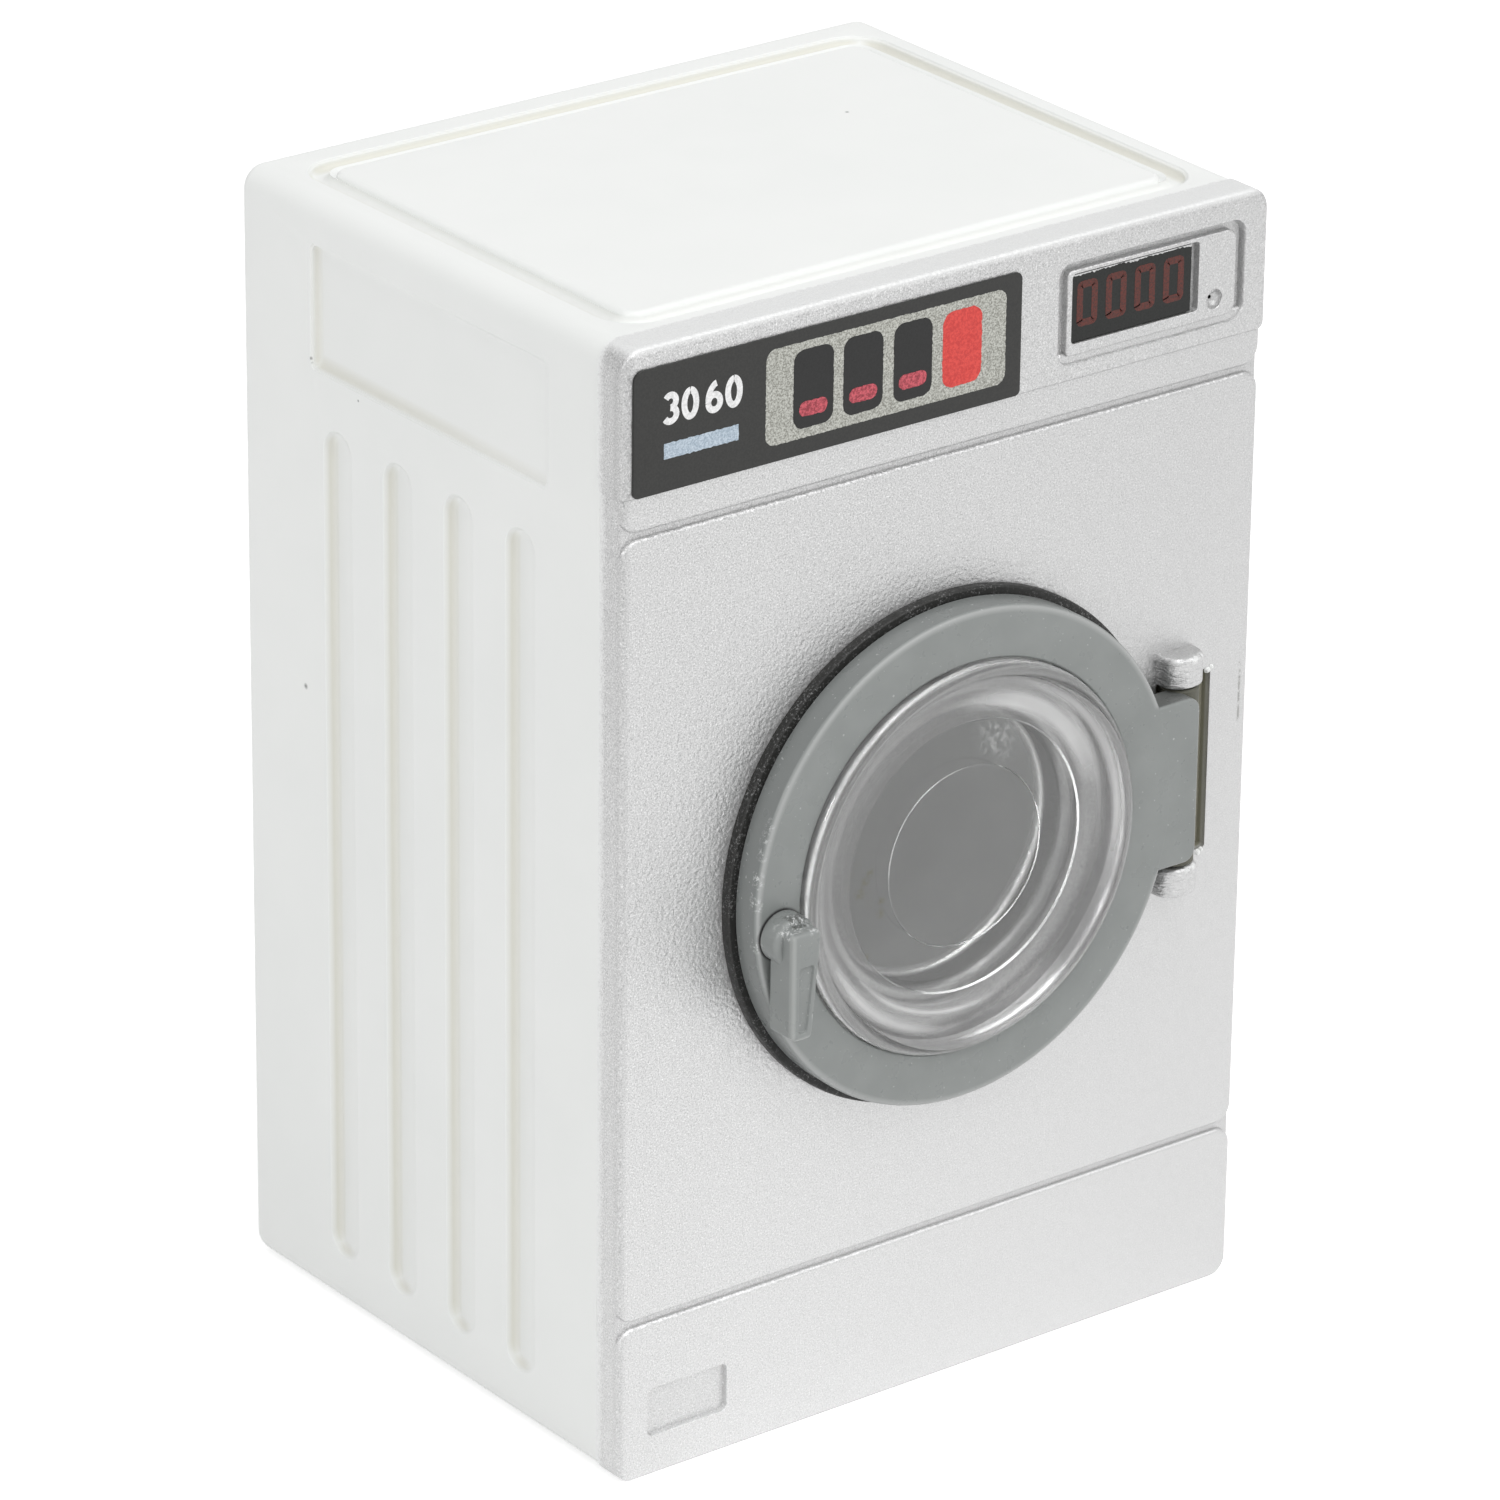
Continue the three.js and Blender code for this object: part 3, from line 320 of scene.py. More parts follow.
class Shape:
    """Points and faces in millimetres, gathered before they become a mesh."""

    def __init__(self, material):
        self.material = material
        self.points = []
        self.faces = []
        self.paints = []

    def face(self, corners, paint=None):
        self.faces.append(corners)
        self.paints.append(self.material if paint is None else paint)

    def ring(self, points):
        start = len(self.points)
        self.points.extend(points)
        return list(range(start, len(self.points)))

    def flat_ring(self, flat, y):
        """A ring of (x, z) points at one y."""
        return self.ring([(x, y, z) for x, z in flat])

    def bridge(self, first, second, paint=None):
        for i in range(len(first)):
            j = (i + 1) % len(first)
            self.face([first[i], first[j], second[j], second[i]], paint)

    def strip(self, first, second, paint):
        """Faces between two open rows of points."""
        for i in range(len(first) - 1):
            self.face([first[i], first[i + 1], second[i + 1], second[i]], paint)

    def loft(self, rings, paint=None):
        for first, second in zip(rings, rings[1:]):
            self.bridge(first, second, paint)

    def capped(self, levels):
        """A body lofted through levels of points and closed at both ends."""
        rings = [self.ring(points) for points in levels]
        self.loft(rings)
        self.face(rings[0])
        self.face(rings[-1])

    def fill(self, plane_rings, paint=None):
        """Fills between the first ring and the rings inside it; each is (indices, flat points)."""
        flat, edges, index = [], [], []
        for ring, points in plane_rings:
            start = len(flat)
            flat.extend(Vector(point) for point in points)
            index.extend(ring)
            count = len(points)
            edges.extend((start + i, start + (i + 1) % count) for i in range(count))
        corners, _, faces, origins, _, _ = delaunay_2d_cdt(flat, edges, [], 1, 1e-7)
        for face in faces:
            middle = sum((corners[corner] for corner in face), Vector((0, 0))) / len(face)
            if not any(inside(points, *middle) for _, points in plane_rings[1:]):
                self.face([index[origins[corner][0]] for corner in face], paint)

    def sink(self, place, border, profile, lean=lambda u: 1.0):
        """Lofts a profile of (inset, depth) round a border, its depths times lean(u). place(u, v,
        depth) gives a point. Returns the rings, each with its flat points."""
        made = []
        for inset, depth in profile:
            flat = border(inset)
            made.append((self.ring([place(u, v, depth * lean(u)) for u, v in flat]), flat))
        self.loft([ring for ring, _ in made])
        return made

    def relief(self, place, border, edge, cuts=()):
        """A plate with a rounded border and cuts, each given as (border, profile, floored)."""
        outer = self.sink(place, border, edge)
        face_rings, rear_rings = [outer[0]], [outer[-1]]
        for shape, profile, floored in cuts:
            inner = self.sink(place, shape, profile)
            face_rings.append(inner[0])
            if floored:
                self.face(inner[-1][0])
            else:
                rear_rings.append(inner[-1])
        self.fill(face_rings)
        self.fill(rear_rings)

    def turned(self, profile, segments=SMOOTH, x=DOOR_X, z=DOOR_Z, paint=None):
        """A solid turned about an axis along Y, from a profile of (radius, y) that starts and
        ends on the axis or closes on itself."""
        rings = [self.flat_ring(circle(x, z, radius, segments)() if radius else [(x, z)], y)
                 for radius, y in profile]
        for first, second in zip(rings, rings[1:]):
            tip, rim = sorted((first, second), key=len)
            if len(tip) == 1:
                for i in range(segments):
                    self.face([tip[0], rim[i], rim[(i + 1) % segments]], paint)
            else:
                self.bridge(first, second, paint)

    def made(self, name):
        """The finished object: merged, closed, smooth across its rounds and sharp elsewhere."""
        mesh = bpy.data.meshes.new(name)
        mesh.from_pydata([Vector(point) * MM for point in self.points], [], self.faces)
        materials = list(dict.fromkeys(self.paints))
        for material in materials:
            mesh.materials.append(material)
        for polygon, paint in zip(mesh.polygons, self.paints):
            polygon.material_index = materials.index(paint)
            polygon.use_smooth = True
        build = bmesh.new()
        build.from_mesh(mesh)
        bmesh.ops.remove_doubles(build, verts=build.verts, dist=1e-7)
        bmesh.ops.recalc_face_normals(build, faces=build.faces)
        for edge in build.edges:
            edge.smooth = len(edge.link_faces) == 2 and edge.calc_face_angle(0) < SHARP_ANGLE
        build.to_mesh(mesh)
        build.free()
        thing = placed(name, mesh)
        weighted = thing.modifiers.new("even_normals", "WEIGHTED_NORMAL")
        weighted.keep_sharp = True
        weighted.weight = 90
        return thing


def front_place(face):
    """Places a relief on the front, its depths counted from the given face."""
    return lambda u, v, depth: (u, face + depth, v)


# Materials

def wire(tree, kind, inputs, output=0, **settings):
    """Adds a shader node, sets its inputs to values or sockets, and gives one of its outputs."""
    made = tree.nodes.new("ShaderNode" + kind)
    for key, value in settings.items():
        setattr(made, key, value)
    for key, value in inputs.items():
        if isinstance(value, bpy.types.NodeSocket):
            tree.links.new(value, made.inputs[key])
        else:
            made.inputs[key].default_value = value
    return made.outputs[output]


def colour(value):
    """A grey or a colour as a node takes it. A socket stays as it is."""
    if isinstance(value, bpy.types.NodeSocket):
        return value
    return (value, value, value, 1) if isinstance(value, (int, float)) else (*value, 1)


class Look:
    """A material's nodes, whose places and sizes are in millimetres."""

    def __init__(self, name, **sockets):
        self.material = bpy.data.materials.new(name)
        self.material.use_nodes = True
        self.tree = self.material.node_tree
        self.shader = self.tree.nodes["Principled BSDF"]
        for socket, value in sockets.items():
            self.shader.inputs[socket.replace("_", " ")].default_value = value
        metres = wire(self.tree, "TexCoord", {}, "Object")
        self.at = self.vector("MULTIPLY", metres, (1 / MM, 1 / MM, 1 / MM))
        self.x, self.y, self.z = wire(self.tree, "SeparateXYZ", {0: self.at}).node.outputs

    def math(self, operation, *values):
        return wire(self.tree, "Math", dict(enumerate(values)), operation=operation)

    def vector(self, operation, *values, output=0):
        return wire(self.tree, "VectorMath", dict(enumerate(values)), output, operation=operation)

    def noise(self, size, detail, roughness=0.5, distortion=0.0, stretch=None):
        """Noise whose grains are about size across."""
        at = self.vector("MULTIPLY", self.at, stretch) if stretch else self.at
        return wire(self.tree, "TexNoise", {"Vector": at, "Scale": 1 / size, "Detail": detail,
                                            "Roughness": roughness, "Distortion": distortion})

    def ramp(self, source, *stops):
        """Colours or greys at places along a value."""
        made = wire(self.tree, "ValToRGB", {0: source}).node
        elements = made.color_ramp.elements
        while len(elements) < len(stops):
            elements.new(1.0)
        for element, (position, value) in zip(elements, stops):
            element.position = position
            element.color = colour(value)
        return made.outputs[0]

    def clouds(self, size, detail, low, high, start=0.3, end=0.7, roughness=0.5):
        """Noise that goes from one grey or colour to another."""
        return self.ramp(self.noise(size, detail, roughness), (start, low), (end, high))

    def mix(self, factor, first, second, blend_type="MIX"):
        return wire(self.tree, "Mix", {0: factor, 6: colour(first), 7: colour(second)}, 2,
                    data_type="RGBA", blend_type=blend_type)

    def bump(self, height, distance, strength=1.0, under=None):
        """Bumps that follow a height map and stand distance high, over those of another bump."""
        inputs = {"Height": height, "Distance": distance * MM, "Strength": strength}
        if under is not None:
            inputs["Normal"] = under
        return wire(self.tree, "Bump", inputs)

    def span(self, source, start, end, low=0.0, high=1.0):
        """A value that runs from low to high while the source runs from start to end."""
        return wire(self.tree, "MapRange", dict(enumerate((source, start, end, low, high))))

    def shade(self, body, source, start, end, level):
        """A colour that is multiplied by 1 to level, while the source runs from start to end."""
        return self.mix(1.0, body, self.span(source, start, end, 1, level), "MULTIPLY")

    def sum(self, *terms):
        """Values added together, each given as (source, factor)."""
        total = 0
        for source, factor in terms:
            total = self.math("MULTIPLY_ADD", source, factor, total)
        return total

    def most(self, *sources):
        total = sources[0]
        for source in sources[1:]:
            total = self.math("MAXIMUM", total, source)
        return total

    def times(self, first, second):
        return self.math("MULTIPLY", first, second)

    def opposite(self, mask):
        return self.span(mask, 0, 1, 1, 0)

    def band(self, source, rise, start, end, fall):
        """1 between start and end, fading in from rise and out to fall."""
        return self.times(self.span(source, rise, start), self.span(source, end, fall, 1, 0))

    def bar(self, centre, half, reach):
        """1 in a box given by its centre and half its size, fading out over reach."""
        away = self.vector("ABSOLUTE", self.vector("SUBTRACT", self.at, centre))
        outside = self.vector("MAXIMUM", self.vector("SUBTRACT", away, half), (0, 0, 0))
        return self.span(self.vector("LENGTH", outside, output=1), 0, reach, 1, 0)

    def spots(self, *places):
        """1 within small round spots, each given as (point, radius)."""
        return self.most(*(self.bar(point, (0, 0, 0), radius) for point, radius in places))

    def torn(self, mask, size=0.2, level=0.52):
        """A mask broken up into scratches and crumbs."""
        return self.times(mask, self.span(self.noise(size, 3, 0.8), level, level + 0.08))

    def off_axis(self, x=DOOR_X, z=DOOR_Z):
        """The distance from an axis along Y."""
        flat = self.vector("MULTIPLY", self.at, (1, 0, 1))
        return self.vector("DISTANCE", flat, (x, 0, z), output=1)

    def sweep(self, near, far, soft, heading, spread):
        """1 in an arc round the door's axis, between two radii and about a heading in degrees."""
        offset = self.vector("SUBTRACT", self.at, (DOOR_X, 0, DOOR_Z))
        outwards = self.vector("NORMALIZE", self.vector("MULTIPLY", offset, (1, 0, 1)))
        turn = math.radians(heading)
        facing = self.vector("DOT_PRODUCT", outwards, (math.cos(turn), 0, math.sin(turn)), output=1)
        within = self.span(facing, math.cos(math.radians(spread)),
                           math.cos(math.radians(spread * 0.4)))
        return self.times(self.band(self.off_axis(), near - soft, near, far, far + soft), within)

    def done(self, body, roughness, normal, **more):
        """Wires the look to the shader and gives the material."""
        sockets = {"Base Color": body, "Roughness": roughness, "Normal": normal, **more}
        for socket, source in sockets.items():
            self.tree.links.new(source, self.shader.inputs[socket.replace("_", " ")])
        return self.material


def white_plastic():
    """Moulded white plastic: faint clouding, fine grain, a soft gloss, painted shade in the cuts'
    deep corners and round the top's groove, and a few dark specks."""
    look = Look("white_plastic", IOR=1.5, Specular_IOR_Level=0.4)
    body = look.clouds(9, 2, (0.866, 0.88, 0.866), (0.882, 0.894, 0.88), 0.35, 0.65)
    left = -HALF_WIDTH
    middle, half = (RECESS_FRONT + RECESS_REAR) / 2, (RECESS_REAR - RECESS_FRONT) / 2
    centre, rise = (RECESS_BOTTOM + RECESS_TOP) / 2, (RECESS_TOP - RECESS_BOTTOM) / 2
    # Painted shade: darker at the rear and bottom walls of the side recess and of the slots, fading
    # in with depth, and round the top's groove
    painted_shade = [look.bar((left, RECESS_REAR, centre), (2, 0.12, rise), 0.4),
             look.bar((left, middle, RECESS_BOTTOM), (2, half - 0.6, 0.12), 0.7)]
    centre, rise = (SLOT_BOTTOM + SLOT_TOP) / 2, (SLOT_TOP - SLOT_BOTTOM) / 2 - 0.7
    for middle in SLOT_MIDDLES:
        painted_shade += [look.bar((left, middle + SLOT_WIDTH / 2, centre), (2, 0.12, rise), 0.6),
                  look.bar((left, middle + 0.3, SLOT_BOTTOM), (2, 0.9, 0.1), 0.6)]
    depth = look.span(look.x, left + 0.02, left + 0.3)
    painted_shade = look.times(look.most(*painted_shade), depth)
    top = (0, (TOP_FRONT + TOP_REAR) / 2, HEIGHT)
    deep = (TOP_REAR - TOP_FRONT) / 2
    within = look.bar(top, (TOP_SIDE + TOP_GROOVE, deep + TOP_GROOVE, 2), 0.1)
    around = look.opposite(look.bar(top, (TOP_SIDE + 0.6, deep + 0.6, 2), 0.4))
    sunken = look.span(look.z, HEIGHT - 0.06, HEIGHT - 0.3)
    painted_shade = look.most(painted_shade, look.times(look.times(around, within), sunken))
    # The colour of the painted shade
    body = look.mix(painted_shade, body, (0.76, 0.755, 0.69))
    specks = look.spots(((left, 9.8, 51.65), 0.12), ((left, 9.72, 51.45), 0.1),
                        ((left, 0.9, 51.87), 0.12), ((left, 10.56, 33.85), 0.2),
                        ((left, 5.75, 50.7), 0.09), ((9.47, 4.51, HEIGHT), 0.14))
    swell = look.bump(look.noise(3.5, 1), 0.02)
    return look.done(look.mix(specks, body, 0.12), look.clouds(2.5, 4, 0.36, 0.5),
                     look.bump(look.noise(0.22, 2), 0.003, under=swell))


def silver_paint():
    """Silver lacquer over plastic: flakes in a wrinkled coat that smooths out to the right; painted
    shade towards the top and the right, on the left edge, on sunken floors, behind the door, in the
    opening's wall and in the hinge slot's bare plastic; painted highlights on the crests round the
    opening, on the knuckles' rims and on the opening's rear lip; bare plastic where the spray ran
    out at the back; and paler, not metallic, towards the fascia's top face."""
    look = Look("silver_paint", IOR=1.5)
    coarse = look.span(look.sum((look.x, -1.0), (look.z, 0.6)), -8, 34, 0.2, 1.0)
    flakes = look.noise(0.085, 3, 0.75)
    grains = look.ramp(flakes, (0.32, (0.36, 0.365, 0.365)), (0.46, 0.61), (0.57, 0.69),
                       (0.68, 1.0))
    paint = look.mix(coarse, 0.655, grains)
    # Painted shade: darker towards the top and towards the right
    paint = look.shade(paint, look.z, 0, HEIGHT, 0.86)
    paint = look.shade(paint, look.x, -0.6 * HALF_WIDTH, 0.8 * HALF_WIDTH, 0.92)
    # Painted shade on the left front edge
    across = look.sum((look.x, 1.0), (look.y, 1.0), (look.noise(0.2, 3, 0.8), 0.4))
    corner = PLATE_FACE - HALF_WIDTH
    paint = look.shade(paint, across, corner + 0.7, corner + 0.35, 0.86)
    # Painted shade on the sunken floors of the seams, the grooves and the hatch, darker with depth
    paint = look.shade(paint, look.y, PLATE_FACE + 0.12, PLATE_FACE + 0.4, 0.9)
    around = look.off_axis()
    # Painted shade behind the door: darker inside about 8.8 mm from the door's axis, with a paler
    # ring near 9 mm
    rings = look.ramp(look.span(around, 7, 10), (0.14, 0.5), (0.33, 0.6), (0.47, 0.5), (0.6, 1.0),
                      (0.69, 1.1), (0.76, 1.0))
    paint = look.mix(1.0, paint, rings, "MULTIPLY")
    # Painted shade on the opening's wall
    paint = look.shade(paint, around, OPENING_RADIUS + 0.1, OPENING_RADIUS + 0.02, 0.62)
    scratches = look.torn(look.bar((19.12, PLATE_FACE, 33.0), (0.01, 0.2, 1.6), 0.1), 0.3, 0.44)
    paint = look.mix(scratches, paint, (0.3, 0.3, 0.29))
    # Painted highlight: a near-white band on the opening's rear lip, which is also glossier
    rear_lip_highlight = look.times(look.span(around, OPENING_RADIUS + 0.1, OPENING_RADIUS + 0.2, 1, 0),
                          look.span(look.y, PANEL_REAR - 0.45, PANEL_REAR - 0.3))
    paint = look.mix(rear_lip_highlight, paint, 0.97)

    spray = look.span(look.y, PANEL_REAR - 0.9, PANEL_REAR + 0.6)
    edge = look.sum((spray, 1.0), (look.noise(0.25, 4, 0.8), 0.7))
    unsprayed = look.times(look.ramp(edge, (0.62, 0.0), (0.95, 1.0)),
                           look.span(around, OPENING_RADIUS + 0.5, OPENING_RADIUS + 1))
    slot_middle = (LOWER_KNUCKLE_TOP + UPPER_KNUCKLE_BOTTOM) / 2
    slot_half = (UPPER_KNUCKLE_BOTTOM - LOWER_KNUCKLE_TOP) / 2
    # Painted shade: the hinge slot shows a dark olive, unmetallic plastic
    hollow = look.bar((HINGE_X + 0.64, PLATE_FACE + 2, slot_middle), (1.9, 1.6, slot_half), 0.25)
    top = UPPER_KNUCKLE_BOTTOM + KNUCKLE_HEIGHT
    front = KNUCKLE_Y - KNUCKLE_RADIUS
    # Painted highlights: torn pale spots on the knuckles' rims
    rims = [look.bar((HINGE_X + x, front, z), (0.15, 0.3, 0.04), 0.2) for x, z in (
        (-0.85, top), (0.15, top - 0.15), (0.75, top - 0.1), (0.2, LOWER_KNUCKLE_TOP - 0.1),
        (0.6, LOWER_KNUCKLE_TOP - 0.1))]
    rim_highlights = look.torn(look.most(*rims), 0.3, 0.44)
    # Painted highlights: pale curved bands on the crests round the opening
    crest_highlights = look.most(*(look.sweep(near, near + 0.3, 0.15, heading, 45)
                       for near in (7.75, 8.75) for heading in (53, 233)))
    upwards = look.span(look.z, HEIGHT - 0.4, HEIGHT - 0.12, 0, 0.7)
    # Plastic shows where the spray ran out and in the painted highlights and shade
    bare = look.most(unsprayed, hollow, rim_highlights, crest_highlights, upwards)
    # Bare plastic, dark olive where the hinge slot gets its painted shade
    plastic = look.mix(hollow, (0.86, 0.868, 0.864), (0.33, 0.32, 0.25))

    folds = [look.bar((HINGE_X, KNUCKLE_Y, z), (1.3, 2, KNUCKLE_HEIGHT / 2), 0.1)
             for z in (top - KNUCKLE_HEIGHT / 2, LOWER_KNUCKLE_TOP - KNUCKLE_HEIGHT / 2)]
    ripples = look.noise(0.3, 2, distortion=0.6, stretch=(0.45, 0.45, 1.6))
    ripples = look.bump(ripples, 0.1, look.most(*folds))
    peel = look.bump(look.noise(0.21, 2), 0.055, coarse, ripples)
    return look.done(look.mix(bare, paint, plastic),
                     look.mix(rear_lip_highlight, look.clouds(0.4, 4, 0.34, 0.48), 0.14),
                     look.bump(flakes, 0.014, coarse, peel),
                     Metallic=look.ramp(bare, (0.0, 0.75), (1.0, 0.0)))


def grey_plastic():
    """Grey moulded plastic, satin, with scuffs and specks of dust; painted highlights on the ring's
    edge and the arm's edges, painted shade on the ring's side wall, painted shadow on the tab's top
    and round the boss.
    """
    look = Look("grey_plastic", IOR=1.5, Specular_IOR_Level=0.5)
    body = look.clouds(2.2, 4, (0.228, 0.242, 0.236), (0.256, 0.27, 0.264))
    around = look.off_axis()
    # Painted shade on the ring's outer side wall
    flank = look.times(look.span(around, RING_RADIUS - 0.05, RING_RADIUS - 0.01),
                       look.span(look.y, RING_FRONT + 0.15, RING_FRONT + 0.2))
    body = look.mix(flank, body, (0.2, 0.212, 0.208))
    # Painted highlight on the ring's edge round, left off the tab
    crest = look.times(look.band(around, RING_RADIUS - 0.4, RING_RADIUS - 0.16,
                                 RING_RADIUS - 0.1, RING_RADIUS - 0.04),
                       look.bar((DOOR_X, RING_FRONT + 0.1, DOOR_Z), (20, 0.2, 20), 0.1))
    tab = look.bar((HINGE_X, RING_FRONT, (TAB_BOTTOM + TAB_TOP) / 2),
                   (6, 3, (TAB_TOP - TAB_BOTTOM) / 2), 0.2)
    body = look.mix(look.times(crest, look.opposite(tab)), body, (0.37, 0.38, 0.375))
    body = look.mix(look.clouds(0.16, 0, 0.0, 1.0, 0.79, 0.82), body, (0.42, 0.43, 0.43))

    scuffs = [look.bar((x, RING_FRONT + 0.1, z), (0.05, 0.2, 0.15), size) for x, z, size in (
        (-12.6, 34.0, 0.4), (-12.3, 34.7, 0.3), (-12.75, 33.2, 0.3), (-12.95, 31.9, 0.35),
        (-13.02, 30.6, 0.35), (-13.0, 28.4, 0.3))]
    broken = look.bar((HANDLE_X + 0.2, BOSS_FRONT + 0.2, HANDLE_Z + 1.05), (0.5, 0.35, 0.2), 0.2)
    body = look.mix(look.torn(broken, 0.26, 0.44), body, (0.09, 0.095, 0.09))
    scuffs += [broken,
               look.bar((HANDLE_X - 0.35, BOSS_FRONT, HANDLE_Z + 0.75), (0.5, 0.5, 0.1), 0.25),
               look.bar((HANDLE_X + 0.5, ARM_FRONT, ARM_TOP), (0.3, 0.3, 0.05), 0.2)]
    body = look.mix(look.torn(look.most(*scuffs)), body, (0.62, 0.63, 0.63))
    # Painted highlights along the arm's left and bottom edges
    edges = [look.bar((ARM_LEFT + 0.06, ARM_FRONT, HANDLE_Z - 2), (0.02, 0.3, 2.8), 0.12),
             look.bar((ARM_LEFT + 0.6, ARM_FRONT, ARM_BOTTOM + 0.1), (0.5, 0.3, 0.02), 0.12)]
    body = look.mix(look.most(*edges), body, (0.36, 0.375, 0.365))

    # Painted shadow on the tab's top face, under the upper knuckle
    knuckle_shadow = look.times(look.bar((HINGE_X - 1.5, RING_FRONT + 1.3, TAB_TOP + 0.4), (2, 1.05, 0.4),
                                0.12),
                       look.span(around, RING_RADIUS + 0.02, RING_RADIUS + 0.1))
    body = look.mix(knuckle_shadow, body, (0.13, 0.135, 0.13))
    dark = look.spots(((-7.65, RING_FRONT, 41.4), 0.18), ((-7.62, RING_FRONT, 41.2), 0.15))
    # Painted shadow: a dark ring round the boss's foot on the ring's face
    groove = look.times(look.span(look.off_axis(HANDLE_X, HANDLE_Z), BOSS_RADIUS + 0.02,
                                  BOSS_RADIUS + 0.14, 1, 0),
                        look.bar((HANDLE_X, RING_FRONT, HANDLE_Z), (2, 0.04, 2), 0.1))
    body = look.mix(look.most(dark, groove), body, 0.05)
    waves = look.bump(look.noise(2.0, 2), 0.012)
    return look.done(body, look.clouds(1.2, 4, 0.24, 0.38),
                     look.bump(look.noise(0.2, 3), 0.003, under=waves))


def barrel_shade_plastic():
    """Dull plastic of the barrel behind the tab, darker than the ring as a painted shade."""
    look = Look("barrel_shade_plastic", IOR=1.5, Specular_IOR_Level=0.2)
    return look.done(look.clouds(1.0, 3, (0.1, 0.1, 0.08), (0.15, 0.148, 0.12)),
                     look.clouds(0.8, 3, 0.5, 0.65), look.bump(look.noise(0.2, 3), 0.006))


def drum_plastic():
    """Grey plastic inside the drum, dull, with painted light that makes it paler towards its mouth
    and its top.
    """
    look = Look("drum_plastic", IOR=1.5, Specular_IOR_Level=0.4)
    body = look.clouds(4, 3, (0.7, 0.71, 0.705), (0.78, 0.79, 0.785))
    # Painted light: paler towards the drum's mouth and its top
    outwards = look.sum((look.y, -0.6), (look.z, 0.8))
    pale = look.ramp(look.span(outwards, 16, 34), (0.0, 0.78), (1.0, 1.15))
    return look.done(look.mix(1.0, body, pale, "MULTIPLY"), look.clouds(0.8, 4, 0.4, 0.55),
                     look.bump(look.noise(0.3, 3), 0.006))


def black_seal():
    """Black rubbery ring that caught specks of the silver spray."""
    look = Look("black_seal", IOR=1.5, Specular_IOR_Level=0.35)
    specks = look.clouds(0.13, 3, 0.0, 1.0, 0.56, 0.66, 0.8)
    drift = look.clouds(1.6, 2, 0.15, 1.0, 0.35, 0.6)
    body = look.mix(look.mix(1.0, specks, drift, "MULTIPLY"), (0.014, 0.014, 0.013), 0.24)
    return look.done(body, look.clouds(0.4, 3, 0.35, 0.6), look.bump(look.noise(0.15, 3), 0.008))


def clear_plastic():
    """Clear moulded plastic, slightly hazy, with a hint of flow waves, and a cloudier spot near the
    disc's top that paints in a pale patch of light.
    """
    look = Look("clear_plastic", IOR=1.49)
    specks = look.clouds(0.14, 0, 0.0, 1.0, 0.8, 0.83)
    body = look.mix(specks, (0.95, 0.955, 0.95), 0.99)
    glue = look.spots(((-6.5, DISC_FACE, 29.4), 0.45), ((-6.2, DISC_FACE, 29.95), 0.35),
                      ((-5.9, DISC_FACE, 30.35), 0.3), ((-5.2, DISC_FACE, 28.0), 0.35),
                      ((-5.15, DISC_FACE, 28.65), 0.3), ((-6.1, DISC_FACE, 25.8), 0.35))
    # Painted highlight: a cloudier, paler spot near the disc's top
    hazy_highlight = look.torn(look.bar((2.0, DISC_FACE, 35.6), (0.4, 0.3, 0.6), 1.2), 0.3, 0.5)
    return look.done(look.mix(look.torn(glue, 0.25, 0.42), body, (0.8, 0.76, 0.5)),
                     look.clouds(1.5, 5, 0.04, 0.14, 0.4, 0.8), look.bump(look.noise(1.8, 1), 0.01),
                     Transmission_Weight=look.ramp(hazy_highlight, (0.0, 0.97), (1.0, 0.8)))


def dull_plastic():
    """Clear plastic with a grainy, dull surface, as on the window's sloped rim, and with painted
    highlights: pale, less clear streaks that run round it."""
    look = Look("dull_plastic", IOR=1.49)
    grain = look.noise(0.12, 3, 0.7)
    body = look.ramp(grain, (0.35, 0.62), (0.65, 0.82))
    # Painted highlights: pale streaks round the rim, upper right and lower left
    streak_highlights = look.most(*(look.sweep(DISC_RADIUS + near, DISC_RADIUS + far, soft, heading, spread)
                         for near, far, soft, heading, spread in (
                             (0.75, 1.25, 0.45, 52, 42), (2.0, 2.15, 0.25, 25, 50),
                             (0.95, 1.0, 0.2, 250, 38), (1.75, 1.85, 0.35, 235, 34))))
    return look.done(look.mix(streak_highlights, body, 0.9), look.clouds(0.9, 4, 0.08, 0.2, 0.35),
                     look.bump(grain, 0.006),
                     Transmission_Weight=look.ramp(streak_highlights, (0.0, 0.88), (1.0, 0.56)))


def print_ink(name, light, dark, size=0.12, gloss=0.5):
    """Printed ink with the fine dots of a small label."""
    look = Look(name, IOR=1.5, Specular_IOR_Level=gloss)
    return look.done(look.clouds(size, 2, dark, light, 0.38, 0.62, 0.7),
                     look.clouds(0.9, 3, 0.28, 0.4), look.bump(look.noise(0.3, 2), 0.002))


def steel():
    """Plated steel with fine turning lines."""
    look = Look("steel", Metallic=1.0)
    return look.done(look.clouds(0.5, 3, 0.5, 0.62), look.clouds(0.2, 4, 0.22, 0.36),
                     look.bump(look.noise(0.1, 3), 0.004))


